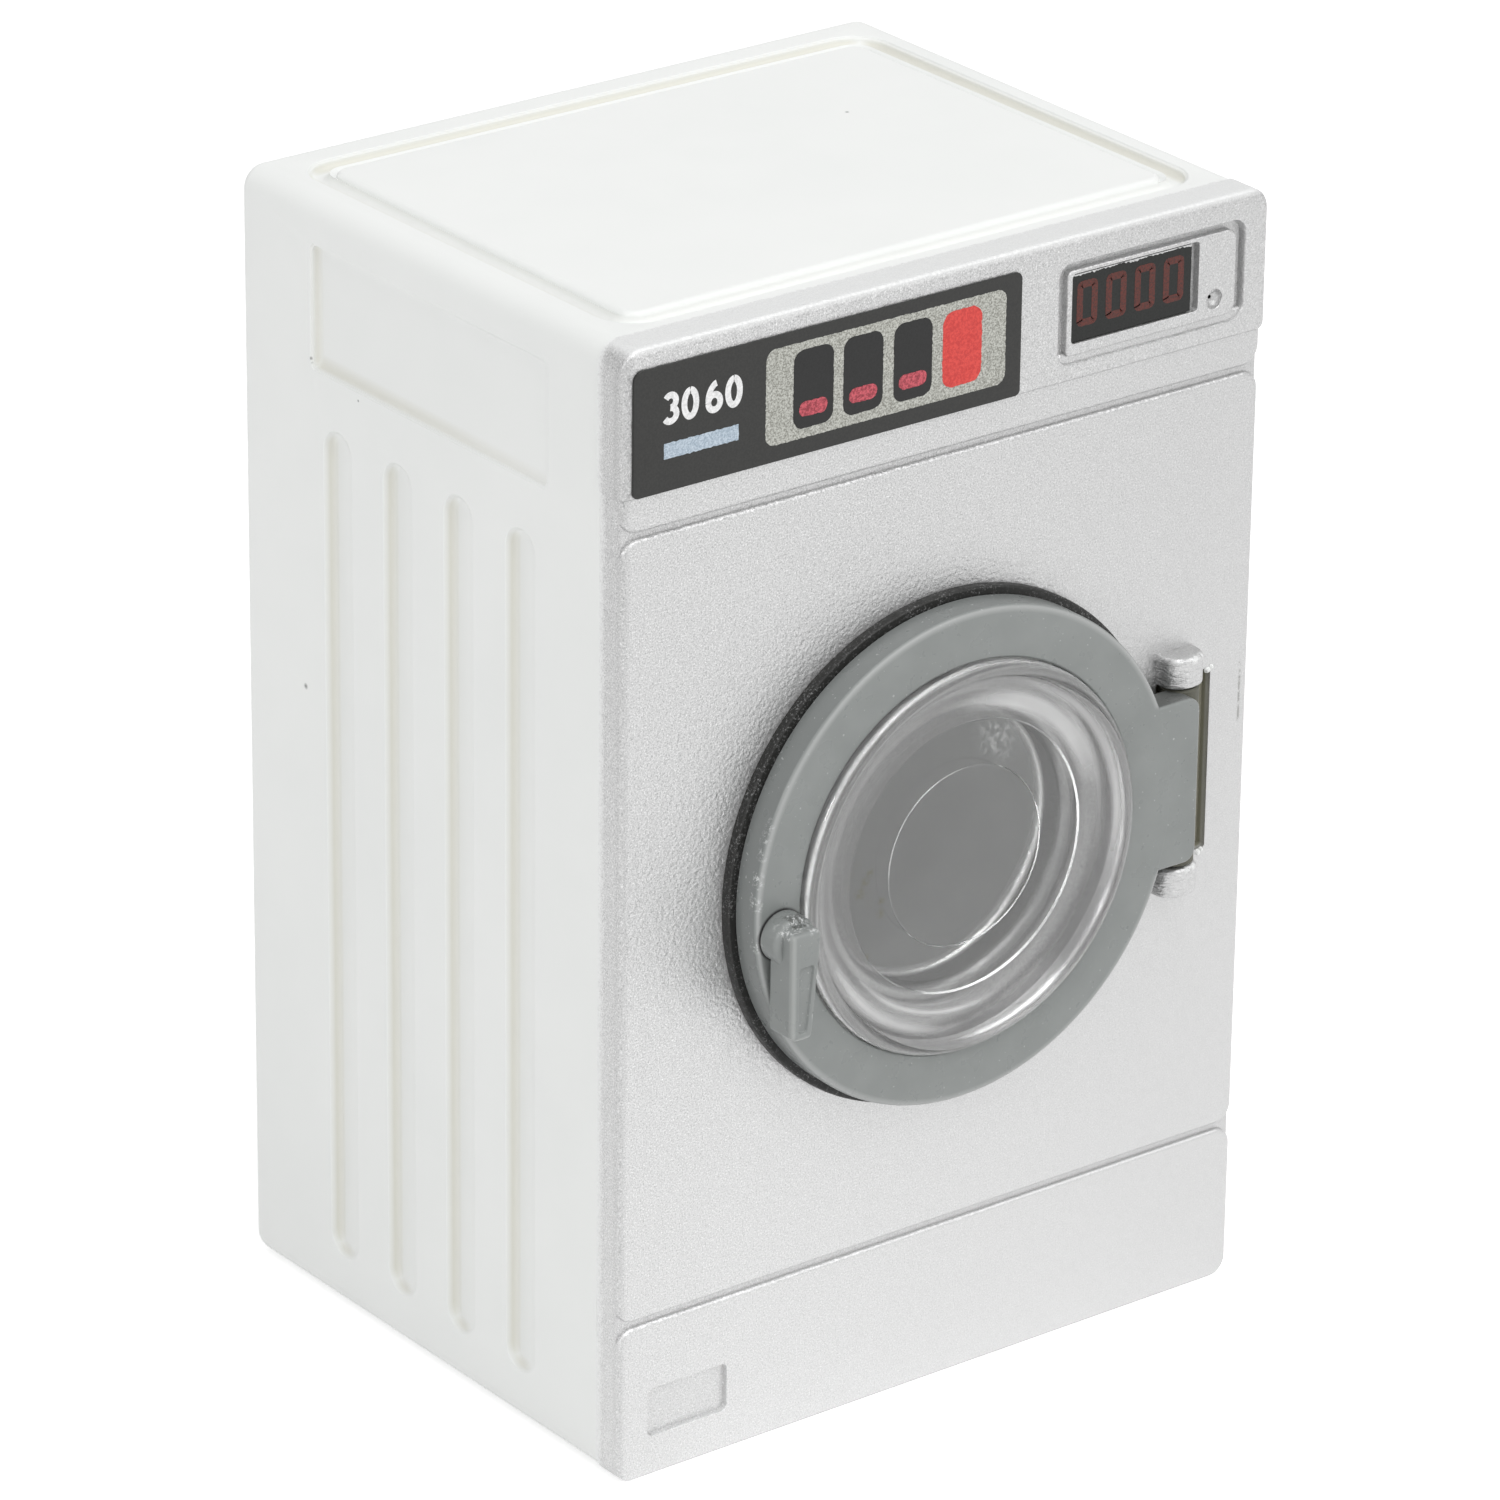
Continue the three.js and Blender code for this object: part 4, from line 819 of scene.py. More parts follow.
WHITE = white_plastic()
SILVER = silver_paint()
GREY = grey_plastic()
BARREL_SHADE = barrel_shade_plastic()
DRUM_GREY = drum_plastic()
BLACK = black_seal()
CLEAR = clear_plastic()
DULL = dull_plastic()
STEEL = steel()
INK_BLACK = print_ink("ink_black", (0.024, 0.024, 0.022), (0.017, 0.017, 0.016), gloss=0.36)
INK_PILL = print_ink("ink_pill", (0.008, 0.008, 0.008), (0.004, 0.004, 0.004), gloss=0.36)
INK_GREY = print_ink("ink_grey", (0.56, 0.565, 0.52), (0.22, 0.22, 0.19), 0.09)
INK_RED = print_ink("ink_red", (0.72, 0.065, 0.052), (0.56, 0.034, 0.03), 0.14, 0.4)
INK_PINK = print_ink("ink_pink", (0.62, 0.1, 0.13), (0.26, 0.025, 0.04), 0.14, 0.4)
INK_BLUE = print_ink("ink_blue", (0.54, 0.62, 0.7), (0.3, 0.38, 0.46), 0.1)
INK_WHITE = print_ink("ink_white", (0.9, 0.9, 0.9), (0.7, 0.7, 0.7), 0.14)
INK_DIGIT = print_ink("ink_digit", (0.12, 0.018, 0.01), (0.05, 0.012, 0.009), 0.12, 0.35)
INK_DISPLAY = print_ink("ink_display", (0.014, 0.015, 0.014), (0.008, 0.009, 0.008), gloss=0.27)


# Cabinet shell

def side_cuts():
    """The wide recess and the upright slots of a side wall, in Y and Z, each as (border, profile,
    lean). Their floors rise towards the front."""
    recess = rectangle(RECESS_FRONT, RECESS_REAR, RECESS_BOTTOM, RECESS_TOP, 0.45)
    cuts = [(recess, sunk(0.06, 0.45, 0.12, 0.35),
             lambda u: 0.3 + 0.7 * (u - RECESS_FRONT) / (RECESS_REAR - RECESS_FRONT))]
    half = SLOT_WIDTH / 2
    for middle in SLOT_MIDDLES:

        def lean(u, front=middle - half):
            return SLOT_FRONT_DEPTH + (1 - SLOT_FRONT_DEPTH) * (u - front) / SLOT_WIDTH

        slot = rectangle(middle - half, middle + half, SLOT_BOTTOM, SLOT_TOP, half - 0.02, 12)
        cuts.append((slot, sunk(0.08, 0.6, 0.1, 0.4), lean))
    return cuts


def shell_skin(shape):
    """The rounded box of the shell, its inner walls, and the flat sides left open."""
    border = rectangle(-HALF_WIDTH, HALF_WIDTH, 0, HEIGHT, SHELL_CORNER, 8)
    back = BACK - SHELL_BACK_ROUND
    levels = [(PANEL_REAR, 0), (back, 0)]
    levels += [(back + SHELL_BACK_ROUND * math.sin(t), SHELL_BACK_ROUND * (1 - math.cos(t)))
               for t in quarter(6)[1:]]
    rings = [shape.flat_ring(border(inset), y) for y, inset in levels]
    shape.loft(rings[1:])
    first, second = rings[:2]
    count = len(first)
    per_corner = count // 4
    for i in range(count):
        if i % per_corner != per_corner - 1:
            j = (i + 1) % count
            shape.face([first[i], first[j], second[j], second[i]])
    inner = rectangle(WALL - HALF_WIDTH, HALF_WIDTH - WALL, WALL, HEIGHT - WALL,
                      SMALLEST_ROUND, 1)()
    rims = []
    for y, outer in ((PANEL_REAR, border()), (BACK, border(SHELL_BACK_ROUND))):
        rims.append(shape.flat_ring(inner, y))
        shape.fill([(shape.flat_ring(outer, y), outer), (rims[-1], inner)])
    shape.bridge(*rims)


def flat_side(shape, place, border, cuts):
    """One flat side of the shell with its recesses."""
    rings = [(shape.ring([place(u, v, 0) for u, v in border]), border)]
    for cut in cuts:
        made = shape.sink(place, *cut)
        rings.append(made[0])
        shape.face(made[-1][0])
    shape.fill(rings)


def groove_cut():
    """The groove round the top's raised panel, as one cut that rises again inside it."""
    side = TOP_SIDE + TOP_GROOVE
    outer = rectangle(-side, side, TOP_FRONT - TOP_GROOVE, TOP_REAR + TOP_GROOVE,
                      TOP_CORNER + TOP_GROOVE * 0.5, 10)
    down = sunk(0.08, TOP_GROOVE_DEPTH, 0.1, 0.3)
    up = reversed(sunk(0.3, TOP_GROOVE_DEPTH, 0.35, 0.35))
    return outer, down + [(TOP_GROOVE - inset, depth) for inset, depth in up]


def cabinet_shell():
    shape = Shape(WHITE)
    shell_skin(shape)
    low, high = SHELL_CORNER, HEIGHT - SHELL_CORNER
    back = BACK - SHELL_BACK_ROUND
    side = [(PANEL_REAR, low), (back, low), (back, high), (PANEL_REAR, high)]
    for sign in (-1, 1):
        flat_side(shape, lambda u, v, depth, sign=sign: (sign * (HALF_WIDTH - depth), u, v),
                  side, side_cuts())
    half = HALF_WIDTH - SHELL_CORNER
    level = [(-half, PANEL_REAR), (half, PANEL_REAR), (half, back), (-half, back)]
    flat_side(shape, lambda u, v, depth: (u, v, HEIGHT - depth), level, [groove_cut()])
    flat_side(shape, lambda u, v, depth: (u, v, depth), level, [])
    return shape.made("shell")


# Front panel

def panel_plates(shape):
    """The base plate and the three plates raised on it, with the opening and the hinge slot."""
    rear = PANEL_REAR - PLATE_FACE
    lip = [(9.2, 0), (9.1, 0.03), (8.95, 0.12), (8.75, 0.27), (8.5, 0.33), (8.3, 0.27),
           (8.15, 0.1), (8.0, 0.02), (7.88, 0), (7.7, 0.06), (7.52, 0.25), (OPENING_RADIUS, 0.5),
           (OPENING_RADIUS, rear - 0.45)]
    lip += [(OPENING_RADIUS - 0.3 * math.sin(t), rear - 0.45 * math.cos(t)) for t in quarter(6)[1:]]
    outermost = lip[0][0]
    opening = (circle(DOOR_X, DOOR_Z, outermost),
               [(outermost - radius, depth) for radius, depth in lip], False)
    slot_left, slot_right = HINGE_X - HINGE_SLOT_LEFT, HINGE_X + HINGE_SLOT_RIGHT
    slot = (rectangle(slot_left, slot_right, LOWER_KNUCKLE_TOP, UPPER_KNUCKLE_BOTTOM, 0.2),
            [(-0.1, 0), (-0.03, 0.03), (0, 0.1), (0, rear - 1.2)], True)
    hatch_left = HATCH_INSET - HALF_WIDTH
    hatch = (rectangle(hatch_left, hatch_left + HATCH_WIDTH, HATCH_RISE,
                       HATCH_RISE + HATCH_HEIGHT, 0.35),
             sunk(0.06, HATCH_DEPTH, 0.08, 0.15), True)
    half = SEAM_WIDTH / 2
    for bottom, top, cuts in ((0, LOWER_SEAM - half, [hatch]),
                              (LOWER_SEAM + half, UPPER_SEAM - half, [opening, slot]),
                              (UPPER_SEAM + half, FASCIA_BOTTOM + 1.5, [])):
        plate = rectangle(-HALF_WIDTH, HALF_WIDTH, bottom, top, PLATE_CORNER, 8)
        shape.relief(front_place(PLATE_FACE), plate, rounded_edge(0.24, 0.24, rear), cuts)
    base = rectangle(BASE_INSET - HALF_WIDTH, HALF_WIDTH - BASE_INSET, BASE_INSET,
                     HEIGHT - 1, FASCIA_CORNER, 8)
    hole = circle(DOOR_X, DOOR_Z, OPENING_RADIUS + 1)
    gap = rectangle(slot_left - 0.4, slot_right + 0.4, LOWER_KNUCKLE_TOP - 0.4,
                    UPPER_KNUCKLE_BOTTOM + 0.4, 0.1)
    deep = rear - SEAM_DEPTH
    shape.relief(front_place(PLATE_FACE + SEAM_DEPTH), base, rounded_edge(0.05, 0.05, deep),
                 [(hole, [(0, 0), (0, deep)], False), (gap, [(0, 0), (0, deep)], False)])


def fascia(shape):
    """The fascia with the display's frame, pocket and lamp dimple."""
    place = front_place(FACE)
    body = rectangle(-FASCIA_SIDE, FASCIA_SIDE, FASCIA_BOTTOM, HEIGHT,
                     [0.25, 0.45, FASCIA_CORNER, FASCIA_CORNER], 8)
    rim = rectangle(DISPLAY_LEFT, DISPLAY_RIGHT, DISPLAY_BOTTOM, DISPLAY_TOP, 0.75, 8)
    edge = [(0.5, 0), (0.42, 0.03), *rounded_edge(0.26, 0.24, PANEL_REAR - FACE)[1:]]
    groove = [(-0.08, 0), (-0.02, 0.02), (0.03, 0.1), (0.12, DISPLAY_GROOVE_DEPTH)]
    shape.relief(place, body, edge, [(rim, groove, True)])
    right = DISPLAY_RIGHT - DISPLAY_GROOVE_SIDE
    bottom = DISPLAY_BOTTOM + DISPLAY_GROOVE_END
    plate = rectangle(DISPLAY_LEFT + DISPLAY_GROOVE_SIDE, right, bottom,
                      DISPLAY_TOP - DISPLAY_GROOVE_END, [0.3, 0.6, 0.6, 0.3], 8)
    pocket = rectangle(SCREEN_LEFT - 0.03, SCREEN_RIGHT + SCREEN_GAP, SCREEN_BOTTOM - 0.06,
                       SCREEN_TOP + 0.06, 0.2, 4)
    lamp = circle(right - LAMP_INSET, bottom + LAMP_RISE, LAMP_RADIUS, 32)
    shape.relief(place, plate, rounded_edge(0.12, 0.12, DISPLAY_GROOVE_DEPTH + 0.1),
                 [(pocket, sunk(0.06, POCKET_DEPTH, 0.03, 0.08), True),
                  (lamp, sunk(0.08, 0.4, 0.05, 0.35), True)])


def knuckles(shape):
    """Two half-round knuckles that grow out of the panel round the hinge pin. Their round is a
    little squarer than a circle."""
    section = []
    for across, out in arc(0, 0, 1, 0, 180, MEDIUM):
        across = math.copysign(abs(across) ** KNUCKLE_BEND, across)
        section.append((HINGE_X - KNUCKLE_RADIUS * across,
                        KNUCKLE_Y - KNUCKLE_RADIUS * abs(out) ** KNUCKLE_BEND))
    section += [(HINGE_X + KNUCKLE_RADIUS, PANEL_REAR - 0.3),
                (HINGE_X - KNUCKLE_RADIUS, PANEL_REAR - 0.3)]

    def level(z, inset):
        scale = 1 - inset / KNUCKLE_RADIUS
        return [(HINGE_X + (x - HINGE_X) * scale,
                 KNUCKLE_Y + (y - KNUCKLE_Y) * scale if y < KNUCKLE_Y else y, z)
                for x, y in section]

    for start, sign, near, far in ((UPPER_KNUCKLE_BOTTOM, 1, 0.12, 0.25),
                                   (LOWER_KNUCKLE_TOP, -1, 0.25, 0.2)):
        levels = [(near * (1 - math.cos(t)), near * (1 - math.sin(t))) for t in quarter(4)]
        levels += [(KNUCKLE_HEIGHT - far * (1 - math.sin(t)), far * (1 - math.cos(t)))
                   for t in quarter(6)]
        shape.capped([level(start + sign * rise, inset) for rise, inset in levels])


def front_panel():
    shape = Shape(SILVER)
    panel_plates(shape)
    fascia(shape)
    knuckles(shape)
    for x, z, radius in BURRS:
        shape.turned([(0, PLATE_FACE - 0.12), (radius * 0.5, PLATE_FACE - 0.1),
                      (radius, PLATE_FACE + 0.05), (0, PLATE_FACE + 0.05)], 12, x, z, WHITE)
    return shape.made("panel")


# Labels and their print

def print_patch(shape, border, level, paint, ragged, seed):
    """A flat patch of ink whose edge is uneven by about ragged."""
    points = []
    flat = border()
    for (u, v), (next_u, next_v) in zip(flat, flat[1:] + flat[:1]):
        steps = max(1, int(math.hypot(next_u - u, next_v - v) / 0.08))
        for step in range(steps):
            at_u = u + (next_u - u) * step / steps
            at_v = v + (next_v - v) * step / steps
            points.append((at_u + ragged * noise.noise((at_u * 5, at_v * 5, seed)),
                           at_v + ragged * noise.noise((at_u * 5, at_v * 5, seed + 20))))
    shape.fill([(shape.flat_ring(points, level), points)], paint)


def control_label():
    """The printed label: a grey field with four keys, plain numbers and a pale bar."""
    shape = Shape(INK_BLACK)
    left, bottom = label_low.x, label_low.z
    body = outline([(left, bottom), (label_high.x, bottom), (label_high.x, label_high.z),
                    (left, label_high.z)], [0.3, 0.3, 0.4, 0.55], 10)
    shape.relief(front_place(label_low.y), body,
                 rounded_edge(0.04, 0.04, label_high.y - label_low.y))
    ink, second_ink, third_ink = (label_low.y - INK_STEP * layer for layer in (1, 2, 3))

    def area(start, end, low, high, corner, steps=8):
        return rectangle(left + start, left + end, bottom + low, bottom + high, corner, steps)

    print_patch(shape, area(*KEY_FIELD, 0.55), ink, INK_GREY, 0.04, 1)
    for index, key in enumerate(KEYS):
        print_patch(shape, area(*key, 0.6), second_ink, INK_PILL, 0.04, 2 + index)
        middle = (key[0] + key[1]) / 2
        light = area(middle - KEY_LIGHT_HALF, middle + KEY_LIGHT_HALF, KEY_LIGHT_BOTTOM,
                     KEY_LIGHT_TOP, 0.37, 6)
        print_patch(shape, light, third_ink, INK_PINK, 0.04, 5 + index)
    print_patch(shape, area(*STOP_KEY, 0.65), second_ink, INK_RED, 0.05, 9)
    print_patch(shape, area(*PALE_BAR, 0.03, 2), ink, INK_BLUE, 0.05, 10)
    numbers(shape, left + NUMBERS_LEFT, bottom + NUMBERS_BOTTOM, ink)
    return shape.made("label")


DIGIT_STROKES = {
    "3": [arc(0.46, 0.76, 0.4, 150, -90, 14, 0.24), arc(0.44, 0.26, 0.46, 90, -150, 14, 0.26)],
    "6": [arc(0.76, 0.34, 0.76, 100, 176, 14, 0.68), arc(0.45, 0.29, 0.45, 180, 540, 28, 0.29)],
    "0": [arc(0.45, 0.5, 0.45, 90, 450, 32, 0.5)],
}


def stroke(shape, line, width, level, paint):
    """A painted stroke of even width along a line of flat points."""
    left, right = [], []
    for index, point in enumerate(line):
        along = line[min(index + 1, len(line) - 1)] - line[max(index - 1, 0)]
        side = Vector((-along.y, along.x)).normalized() * width / 2
        left.append(point + side)
        right.append(point - side)
    shape.strip(shape.flat_ring(left, level), shape.flat_ring(right, level), paint)


def numbers(shape, left, bottom, level):
    """Plain numbers, as on a dial."""
    middle = DIGIT_STROKE / 2
    for digit, place in (("3", 0), ("0", 1.164), ("6", 2.5705), ("0", 3.7345)):
        for order, points in enumerate(DIGIT_STROKES[digit]):
            line = [Vector((left + middle + place + u * DIGIT_WIDTH,
                            bottom + middle + v * DIGIT_HEIGHT)) for u, v in points]
            stroke(shape, line, DIGIT_STROKE, level - order * INK_STEP, INK_WHITE)


def display_label():
    """The display: four segment digits on a black strip with a torn upper edge."""
    shape = Shape(INK_DISPLAY)
    face = FACE + SCREEN_SINK
    body = rectangle(SCREEN_LEFT, SCREEN_RIGHT, SCREEN_BOTTOM, SCREEN_TOP, 0.05, 2)
    shape.relief(front_place(face), body,
                 rounded_edge(0.02, 0.02, extent("display_label")[1].y - face))
    ink = face - INK_STEP
    steps = 120
    upper, lower = [], []
    for step in range(steps + 1):
        u = SCREEN_LEFT + (SCREEN_RIGHT - SCREEN_LEFT) * step / steps
        torn = 0.07 + 0.13 * noise.noise((u * 1.1, 0, 3)) + 0.09 * noise.noise((u * 7, 0, 5))
        upper.append((u, SCREEN_TOP))
        lower.append((u, SCREEN_TOP - max(torn, 0.01)))
    shape.strip(shape.flat_ring(lower, ink), shape.flat_ring(upper, ink), SILVER)
    for index in range(SCREEN_DIGITS):
        left = SCREEN_LEFT + SCREEN_DIGIT_INSET + index * SCREEN_DIGIT_PITCH
        zero_digit(shape, left, SCREEN_BOTTOM + SCREEN_DIGIT_RISE, ink)
    return shape.made("display")


def zero_digit(shape, left, bottom, level, width=1.3, height=2.36, bar=0.38):
    """A nought of segments whose bars run together."""
    half = bar / 2
    line = rectangle(left + half, left + width - half, bottom + half, bottom + height - half,
                     0.12, 3)()
    stroke(shape, [Vector(point) for point in line + line[:2]], bar, level, INK_DIGIT)


# Door

def door_seal():
    shape = Shape(BLACK)
    bore = RING_BORE + 0.1
    shape.turned([(bore, PLATE_FACE), (bore, SEAL_FRONT),
                  *arc(SEAL_RADIUS - 0.12, SEAL_FRONT + 0.12, 0.12, -90, 0, 4),
                  (SEAL_RADIUS, PLATE_FACE), (bore, PLATE_FACE)])
    return shape.made("seal")


def door_ring():
    shape = Shape(GREY)
    shape.turned([(RING_BORE, RING_REAR), (RING_BORE, RING_FRONT + 0.12),
                  *arc(RING_BORE + 0.12, RING_FRONT + 0.12, 0.12, 180, 270, 3),
                  *arc(RING_RADIUS - RING_ROUND, RING_FRONT + RING_ROUND, RING_ROUND, -90, 0, 8),
                  (RING_RADIUS, RING_REAR), (RING_BORE, RING_REAR)])
    root = RING_RADIUS - RING_ROUND - 0.4
    tab = rectangle(DOOR_X + root * 0.94, HINGE_X - TAB_SHORT, TAB_BOTTOM, TAB_TOP,
                    [0.1, TAB_CORNER, TAB_CORNER, 0.1], 8)
    shape.relief(front_place(RING_FRONT + 0.006), tab,
                 rounded_edge(0.16, 0.16, RING_REAR - RING_FRONT - 0.01))
    barrel(shape)
    return shape.made("ring")


def pin_circle(radius, z, steps):
    """A level circle of points round the hinge's axis."""
    return [(x, y, z) for x, y in circle(HINGE_X, HINGE_Y, radius, steps)()]


def barrel(shape):
    """The barrel behind the tab, bored for the pin."""
    bottom, top = LOWER_KNUCKLE_TOP + BARREL_PLAY, UPPER_KNUCKLE_BOTTOM - BARREL_PLAY
    bore = PIN_RADIUS + 0.05
    rings = [shape.ring(pin_circle(radius, z, MEDIUM)) for radius, z in (
        (bore, bottom), (BARREL_RADIUS - 0.1, bottom), (BARREL_RADIUS, bottom + 0.1),
        (BARREL_RADIUS, top - 0.1), (BARREL_RADIUS - 0.1, top), (bore, top))]
    shape.loft(rings + [rings[0]], BARREL_SHADE)


def door_window():
    """The window: a flat disc in a dull, sloped rim with a rounded border."""
    shape = Shape(CLEAR)
    bead = 0.45
    foot_radius, foot_y = DISC_RADIUS + 0.04, DISC_FACE - 0.1
    border = arc(WINDOW_RADIUS - bead, WINDOW_CREST + bead, bead, 215, 360, 14)
    reach, rise = border[0][0] - foot_radius, border[0][1] - foot_y
    slope = [(foot_radius + reach * step / 10, foot_y + rise * (step / 10) ** 2)
             for step in range(11)]
    rear_foot = (DISC_RADIUS + 0.1, RING_REAR)
    shape.turned([(0, DISC_FACE), (INNER_CIRCLE - 0.05, DISC_FACE),
                  (INNER_CIRCLE, DISC_FACE + 0.04), (INNER_CIRCLE + 0.05, DISC_FACE),
                  (DISC_RADIUS - 0.04, DISC_FACE), slope[0]])
    shape.turned(slope, paint=DULL)
    shape.turned(border + [(WINDOW_RADIUS, RING_REAR)])
    shape.turned([(WINDOW_RADIUS, RING_REAR), rear_foot], paint=DULL)
    shape.turned([rear_foot, (DISC_RADIUS - 0.3, DISC_FACE + 1.1), (0, DISC_FACE + 1.1)])
    return shape.made("window")


def door_handle():
    """The lever on its round boss, and the peg that it turns on, with its flattened end."""
    shape = Shape(GREY)
    shape.turned([(0, BOSS_FRONT + 0.03),
                  *arc(BOSS_RADIUS - 0.35, BOSS_FRONT + 0.35, 0.35, -90, 0, 6),
                  (BOSS_RADIUS, RING_FRONT - 0.06), (0, RING_FRONT - 0.06)],
                 MEDIUM, HANDLE_X, HANDLE_Z)
    right = HANDLE_X + ARM_TOP_HALF
    arm = outline([(ARM_LEFT, ARM_BOTTOM), (ARM_LEFT + ARM_BOTTOM_WIDTH, ARM_BOTTOM),
                   (right, ARM_TOP), (ARM_LEFT, ARM_TOP)], 0.3, 6)
    hollow = outline([(ARM_LEFT + 0.35, ARM_BOTTOM + 0.4), (ARM_LEFT + 0.85, ARM_BOTTOM + 0.4),
                      (right - 0.5, HANDLE_Z - 0.9), (ARM_LEFT + 0.35, HANDLE_Z - 0.9)], 0.15, 4)
    shape.relief(front_place(ARM_FRONT), arm,
                 rounded_edge(0.22, 0.25, RING_FRONT - ARM_FRONT - ARM_STANDOFF),
                 [(hollow, sunk(0.05, 0.15, 0.02, 0.08), True)])
    peg_start, peg_end = BOSS_FRONT + 0.2, RING_REAR - 0.05
    head = peg_end - PEG_HEAD_HEIGHT
    shape.turned([(0, peg_start), (PEG_RADIUS, peg_start), (PEG_RADIUS, head),
                  (PEG_HEAD_RADIUS, head), (PEG_HEAD_RADIUS, peg_end), (0, peg_end)],
                 32, HANDLE_X, HANDLE_Z)
    return shape.made("handle")


# Drum and what closes the back

def drum():
    shape = Shape(DRUM_GREY)
    low, high = extent("drum")
    radius = (high.z - low.z) / 2
    inner = radius - DRUM_WALL
    front, rear = low.y, low.y + DRUM_LENGTH
    floor = rear - DRUM_WALL
    flat = inner - DRUM_FLOOR_ROUND
    shape.turned([
        (0, floor), (flat, floor), *arc(flat, floor - DRUM_FLOOR_ROUND, DRUM_FLOOR_ROUND, 90, 0, 12),
        *arc(inner - 0.8, front + DRUM_WALL + 0.8, 0.8, 0, -90, 5),
        *arc(DRUM_MOUTH + DRUM_WALL / 2, front + DRUM_WALL / 2, DRUM_WALL / 2, 90, 270, 8),
        *arc(radius - 0.6, front + 0.6, 0.6, -90, 0, 5),
        *arc(radius - 0.6, rear - 0.6, 0.6, 0, 90, 5),
        (SPINDLE_RADIUS, rear), (SPINDLE_RADIUS, high.y), (0, high.y),
    ])
    for index in range(LIFTERS):
        lifter(shape, math.pi / 2 + 2 * math.pi * index / LIFTERS, inner, front + DRUM_WALL, floor)
    return shape.made("drum_cup")


def lifter(shape, turn, inner, front, floor):
    """A rounded rib along the drum's wall."""
    root, crest, half = inner + 0.2, inner - LIFTER_HEIGHT, 1.4
    flank = [(root, half), (crest + 0.5, half * 0.6), (crest + 0.15, half * 0.42),
             (crest, half * 0.2)]
    section = [(radius, -side) for radius, side in flank] + flank[::-1]
    along = Vector((math.cos(turn), -math.sin(turn)))
    across = Vector((math.sin(turn), math.cos(turn)))
    levels = []
    for y, height in ((front, 0.6), (front + 0.6, 1.0), (floor - 0.6, 1.0), (floor, 0.6)):
        points = [along * (root - (root - radius) * height) + across * side
                  for radius, side in section]
        levels.append([(DOOR_X + at.x, y, DOOR_Z + at.y) for at in points])
    shape.capped(levels)


def screw_places():
    x = HALF_WIDTH - WALL - BOSS_SIDE / 2
    low = WALL + BOSS_SIDE / 2
    return [(-x, HEIGHT - low), (x, HEIGHT - low), (-x, low), (x, low)]


def rear_cover():
    """The cover with its screw recesses and, round the spindle, its bearing."""
    shape = Shape(WHITE)
    low, high = extent("rear_cover")
    border = rectangle(low.x, high.x, low.z, high.z, 0.6, 6)
    cuts = [(circle(x, z, SCREW_RECESS_RADIUS, MEDIUM), sunk(0.12, SCREW_RECESS, 0.02, 0.1), True)
            for x, z in screw_places()]
    cuts.append((circle(DOOR_X, DOOR_Z, BEARING_RECESS, 64),
                 [(-0.15, 0), (-0.04, 0.04), (0, 0.15), (0, COVER_THICKNESS)], False))
    shape.relief(lambda u, v, depth: (u, high.y - depth, v), border,
                 rounded_edge(0.15, 0.15, COVER_THICKNESS), cuts)
    bore = SPINDLE_RADIUS + 0.05
    step = high.y - COVER_THICKNESS + 0.5
    seat = high.y - BEARING_SEAT
    shape.turned([(bore, low.y), (BEARING_RADIUS, low.y), (BEARING_RADIUS, step),
                  (BEARING_RECESS, step), (BEARING_RECESS, seat), (bore, seat), (bore, low.y)], 64)
    return shape.made("cover")


def pan_screw(name, node):
    """A pan-head screw with a cross recess, its head towards the back."""
    low, high = extent(node)
    x, z = (low.x + high.x) / 2, (low.z + high.z) / 2
    head = (high.x - low.x) / 2
    head_height, shank = (0.7, 0.5) if node.startswith("case") else (0.9, 0.6)
    seat = high.y - head_height
    dome = [(head * math.cos(t), seat + head_height * (0.35 + 0.65 * math.sin(t)))
            for t in quarter(8)][:-1]
    threads = []
    turn = seat - 0.3
    while turn > low.y + 0.8:
        threads += [(shank, turn), (shank * 0.72, turn - 0.15), (shank, turn - 0.3)]
        turn -= 0.32
    shape = Shape(STEEL)
    shape.turned([(0, high.y), *reversed(dome), (head, seat), (shank, seat), *threads,
                  (shank * 0.6, low.y + 0.4), (0, low.y)], MEDIUM, x, z)
    body = shape.made(name)
    cutter = Shape(STEEL)
    reach, blade = head * 0.6, head * 0.15
    for half_x, half_z in ((reach, blade), (blade, reach)):
        corners = [(x - half_x, z - half_z), (x + half_x, z - half_z),
                   (x + half_x, z + half_z), (x - half_x, z + half_z)]
        cutter.capped([[(u, y, v) for u, v in corners]
                       for y in (high.y + 1, seat + head_height / 3)])
    knife = cutter.made(name + "_recess")
    cut = body.modifiers.new("recess", "BOOLEAN")
    cut.operation = "DIFFERENCE"
    cut.solver = "EXACT"
    cut.use_self = True
    cut.object = knife
    bpy.context.view_layer.update()
    graph = bpy.context.evaluated_depsgraph_get()
    whole = bpy.data.meshes.new_from_object(body.evaluated_get(graph))
    body.modifiers.clear()
    body.data = whole
    bpy.data.objects.remove(knife)
    return body


def washer():
    low, high = extent("drum_washer")
    outer, bore, edge = (high.x - low.x) / 2, 0.7, 0.08
    shape = Shape(STEEL)
    shape.turned([(bore, low.y), (outer - edge, low.y), (outer, low.y + edge),
                  (outer, high.y - edge), (outer - edge, high.y), (bore, high.y),
                  (bore, low.y)], 64)
    return shape.made("washer")


def hinge_pin():
    shape = Shape(STEEL)
    edge = 0.1
    shape.capped([pin_circle(PIN_RADIUS - inset, z, 32) for z, inset in (
        (pin_low.z, edge), (pin_low.z + edge, 0), (pin_high.z - edge, 0), (pin_high.z, edge))])
    return shape.made("pin")


# Pieces, each on its body and in place of its solid

def dress(thing, body, node):
    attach(thing, body)
    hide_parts(node)


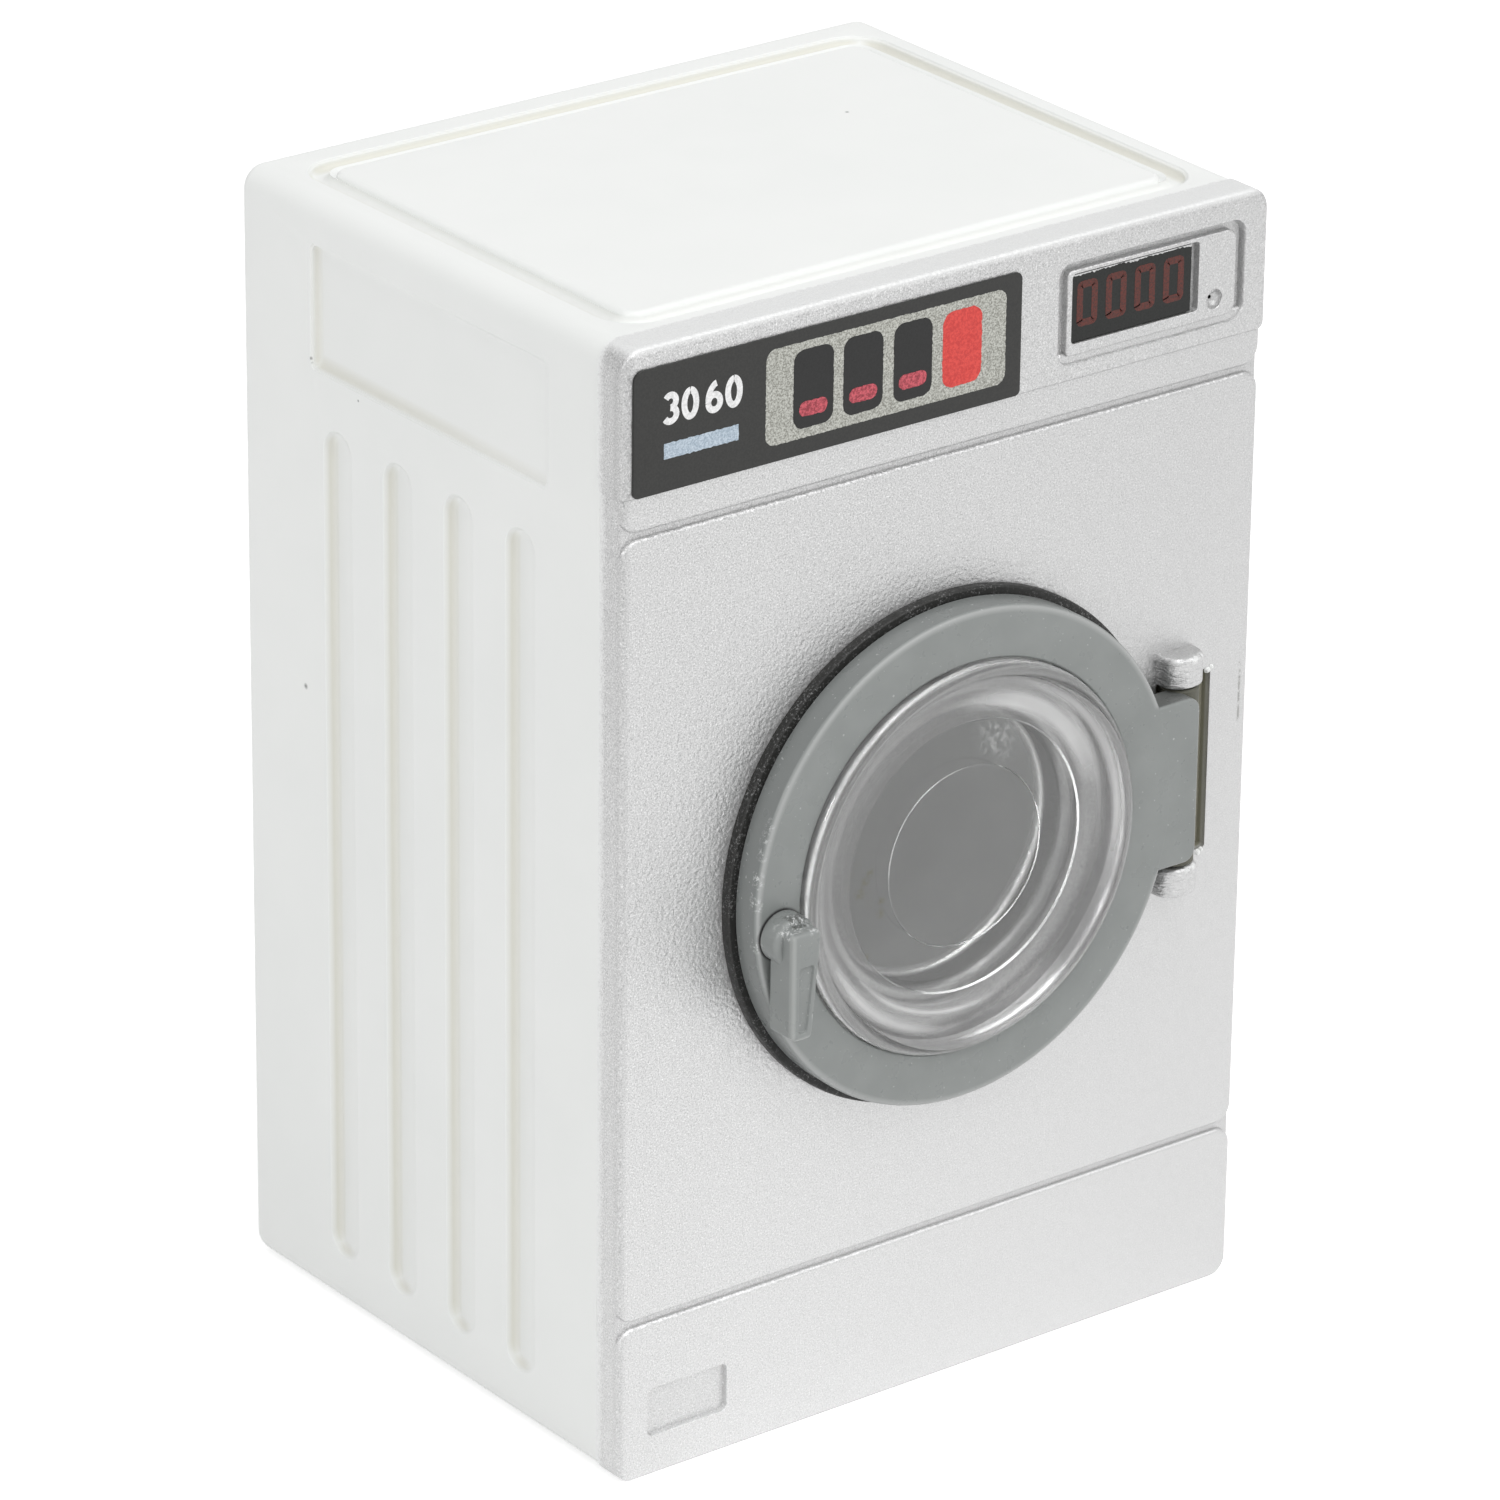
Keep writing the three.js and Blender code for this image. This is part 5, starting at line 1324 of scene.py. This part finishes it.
dress(cabinet_shell(), "cabinet", "cabinet_shell")
dress(front_panel(), "cabinet", "front_panel")
dress(control_label(), "cabinet", "control_label")
dress(display_label(), "cabinet", "display_label")
dress(door_seal(), "cabinet", "door_seal")
dress(rear_cover(), "cabinet", "rear_cover")
dress(hinge_pin(), "cabinet", "hinge_pin")
for number in range(1, 5):
    dress(pan_screw(f"screw_{number}", f"case_screw_{number}"), "cabinet",
          f"case_screw_{number}")
dress(door_ring(), "door", "door_ring")
dress(door_window(), "door", "door_window")
dress(door_handle(), "handle", "door_handle")
dress(drum(), "drum", "drum")
dress(washer(), "drum", "drum_washer")
dress(pan_screw("axle_screw", "drum_axle_screw"), "drum", "drum_axle_screw")


# Studio

EYE = (-238.56, -310.42, 201.32)
YAW = -37.580
PITCH = 23.751
ROLL = 0.669
LENS = 202.53


def camera():
    data = bpy.data.cameras.new("camera")
    data.sensor_width = 36
    data.lens = LENS
    data.clip_start = 0.01
    data.clip_end = 10
    thing = placed("camera", data)
    turn = (Matrix.Rotation(math.radians(YAW), 4, "Z")
            @ Matrix.Rotation(math.radians(90 - PITCH), 4, "X")
            @ Matrix.Rotation(math.radians(ROLL), 4, "Z"))
    thing.matrix_world = Matrix.Translation(Vector(EYE) * MM) @ turn
    bpy.context.scene.camera = thing


def seen_directly(tree):
    """1 for rays that show the background itself: camera, glossy and transmission rays."""
    path = wire(tree, "LightPath", {}).node
    total = path.outputs["Is Camera Ray"]
    for name in ("Is Glossy Ray", "Is Transmission Ray"):
        total = wire(tree, "Math", {0: total, 1: path.outputs[name]}, operation="MAXIMUM")
    return total


def world():
    """A white surround that lights the part less than it shows."""
    made = bpy.data.worlds.new("studio")
    made.use_nodes = True
    bpy.context.scene.world = made
    tree = made.node_tree
    background = tree.nodes["Background"]
    background.inputs["Color"].default_value = (1, 1, 1, 1)
    strength = wire(tree, "MapRange", {"Value": seen_directly(tree), "To Min": 0.56, "To Max": 1.0})
    tree.links.new(strength, background.inputs["Strength"])


def floor():
    """A wide pale floor that shows white and keeps the shadow."""
    mesh = bpy.data.meshes.new("floor")
    half = 3.0
    mesh.from_pydata([(-half, -half, 0), (half, -half, 0), (half, half, 0), (-half, half, 0)],
                     [], [(0, 1, 2, 3)])
    material = bpy.data.materials.new("floor")
    material.use_nodes = True
    tree = material.node_tree
    shader = tree.nodes["Principled BSDF"]
    shader.inputs["Base Color"].default_value = (0.86, 0.86, 0.86, 1)
    shader.inputs["Roughness"].default_value = 0.9
    shader.inputs["Specular IOR Level"].default_value = 0.1
    shader.inputs["Emission Color"].default_value = (1, 1, 1, 1)
    glow = wire(tree, "Math", {0: seen_directly(tree), 1: 0.5}, operation="MULTIPLY")
    tree.links.new(glow, shader.inputs["Emission Strength"])
    mesh.materials.append(material)
    placed("floor", mesh)


def softbox(name, place, side, power):
    """A square lamp that points at the middle of the part."""
    data = bpy.data.lights.new(name, "AREA")
    data.shape = "RECTANGLE"
    data.size = side
    data.size_y = side
    data.energy = power
    thing = placed(name, data)
    thing.location = place
    target = Vector((0, 0, 0.03))
    thing.rotation_euler = (target - Vector(place)).to_track_quat("-Z", "Y").to_euler()


camera()
world()
floor()
softbox("key", (0.1, -0.5, 0.75), 0.8, 4.35)
softbox("fill", (-0.7, -0.2, 0.35), 0.16, 0.88)

bpy.context.scene.view_settings.view_transform = "Standard"
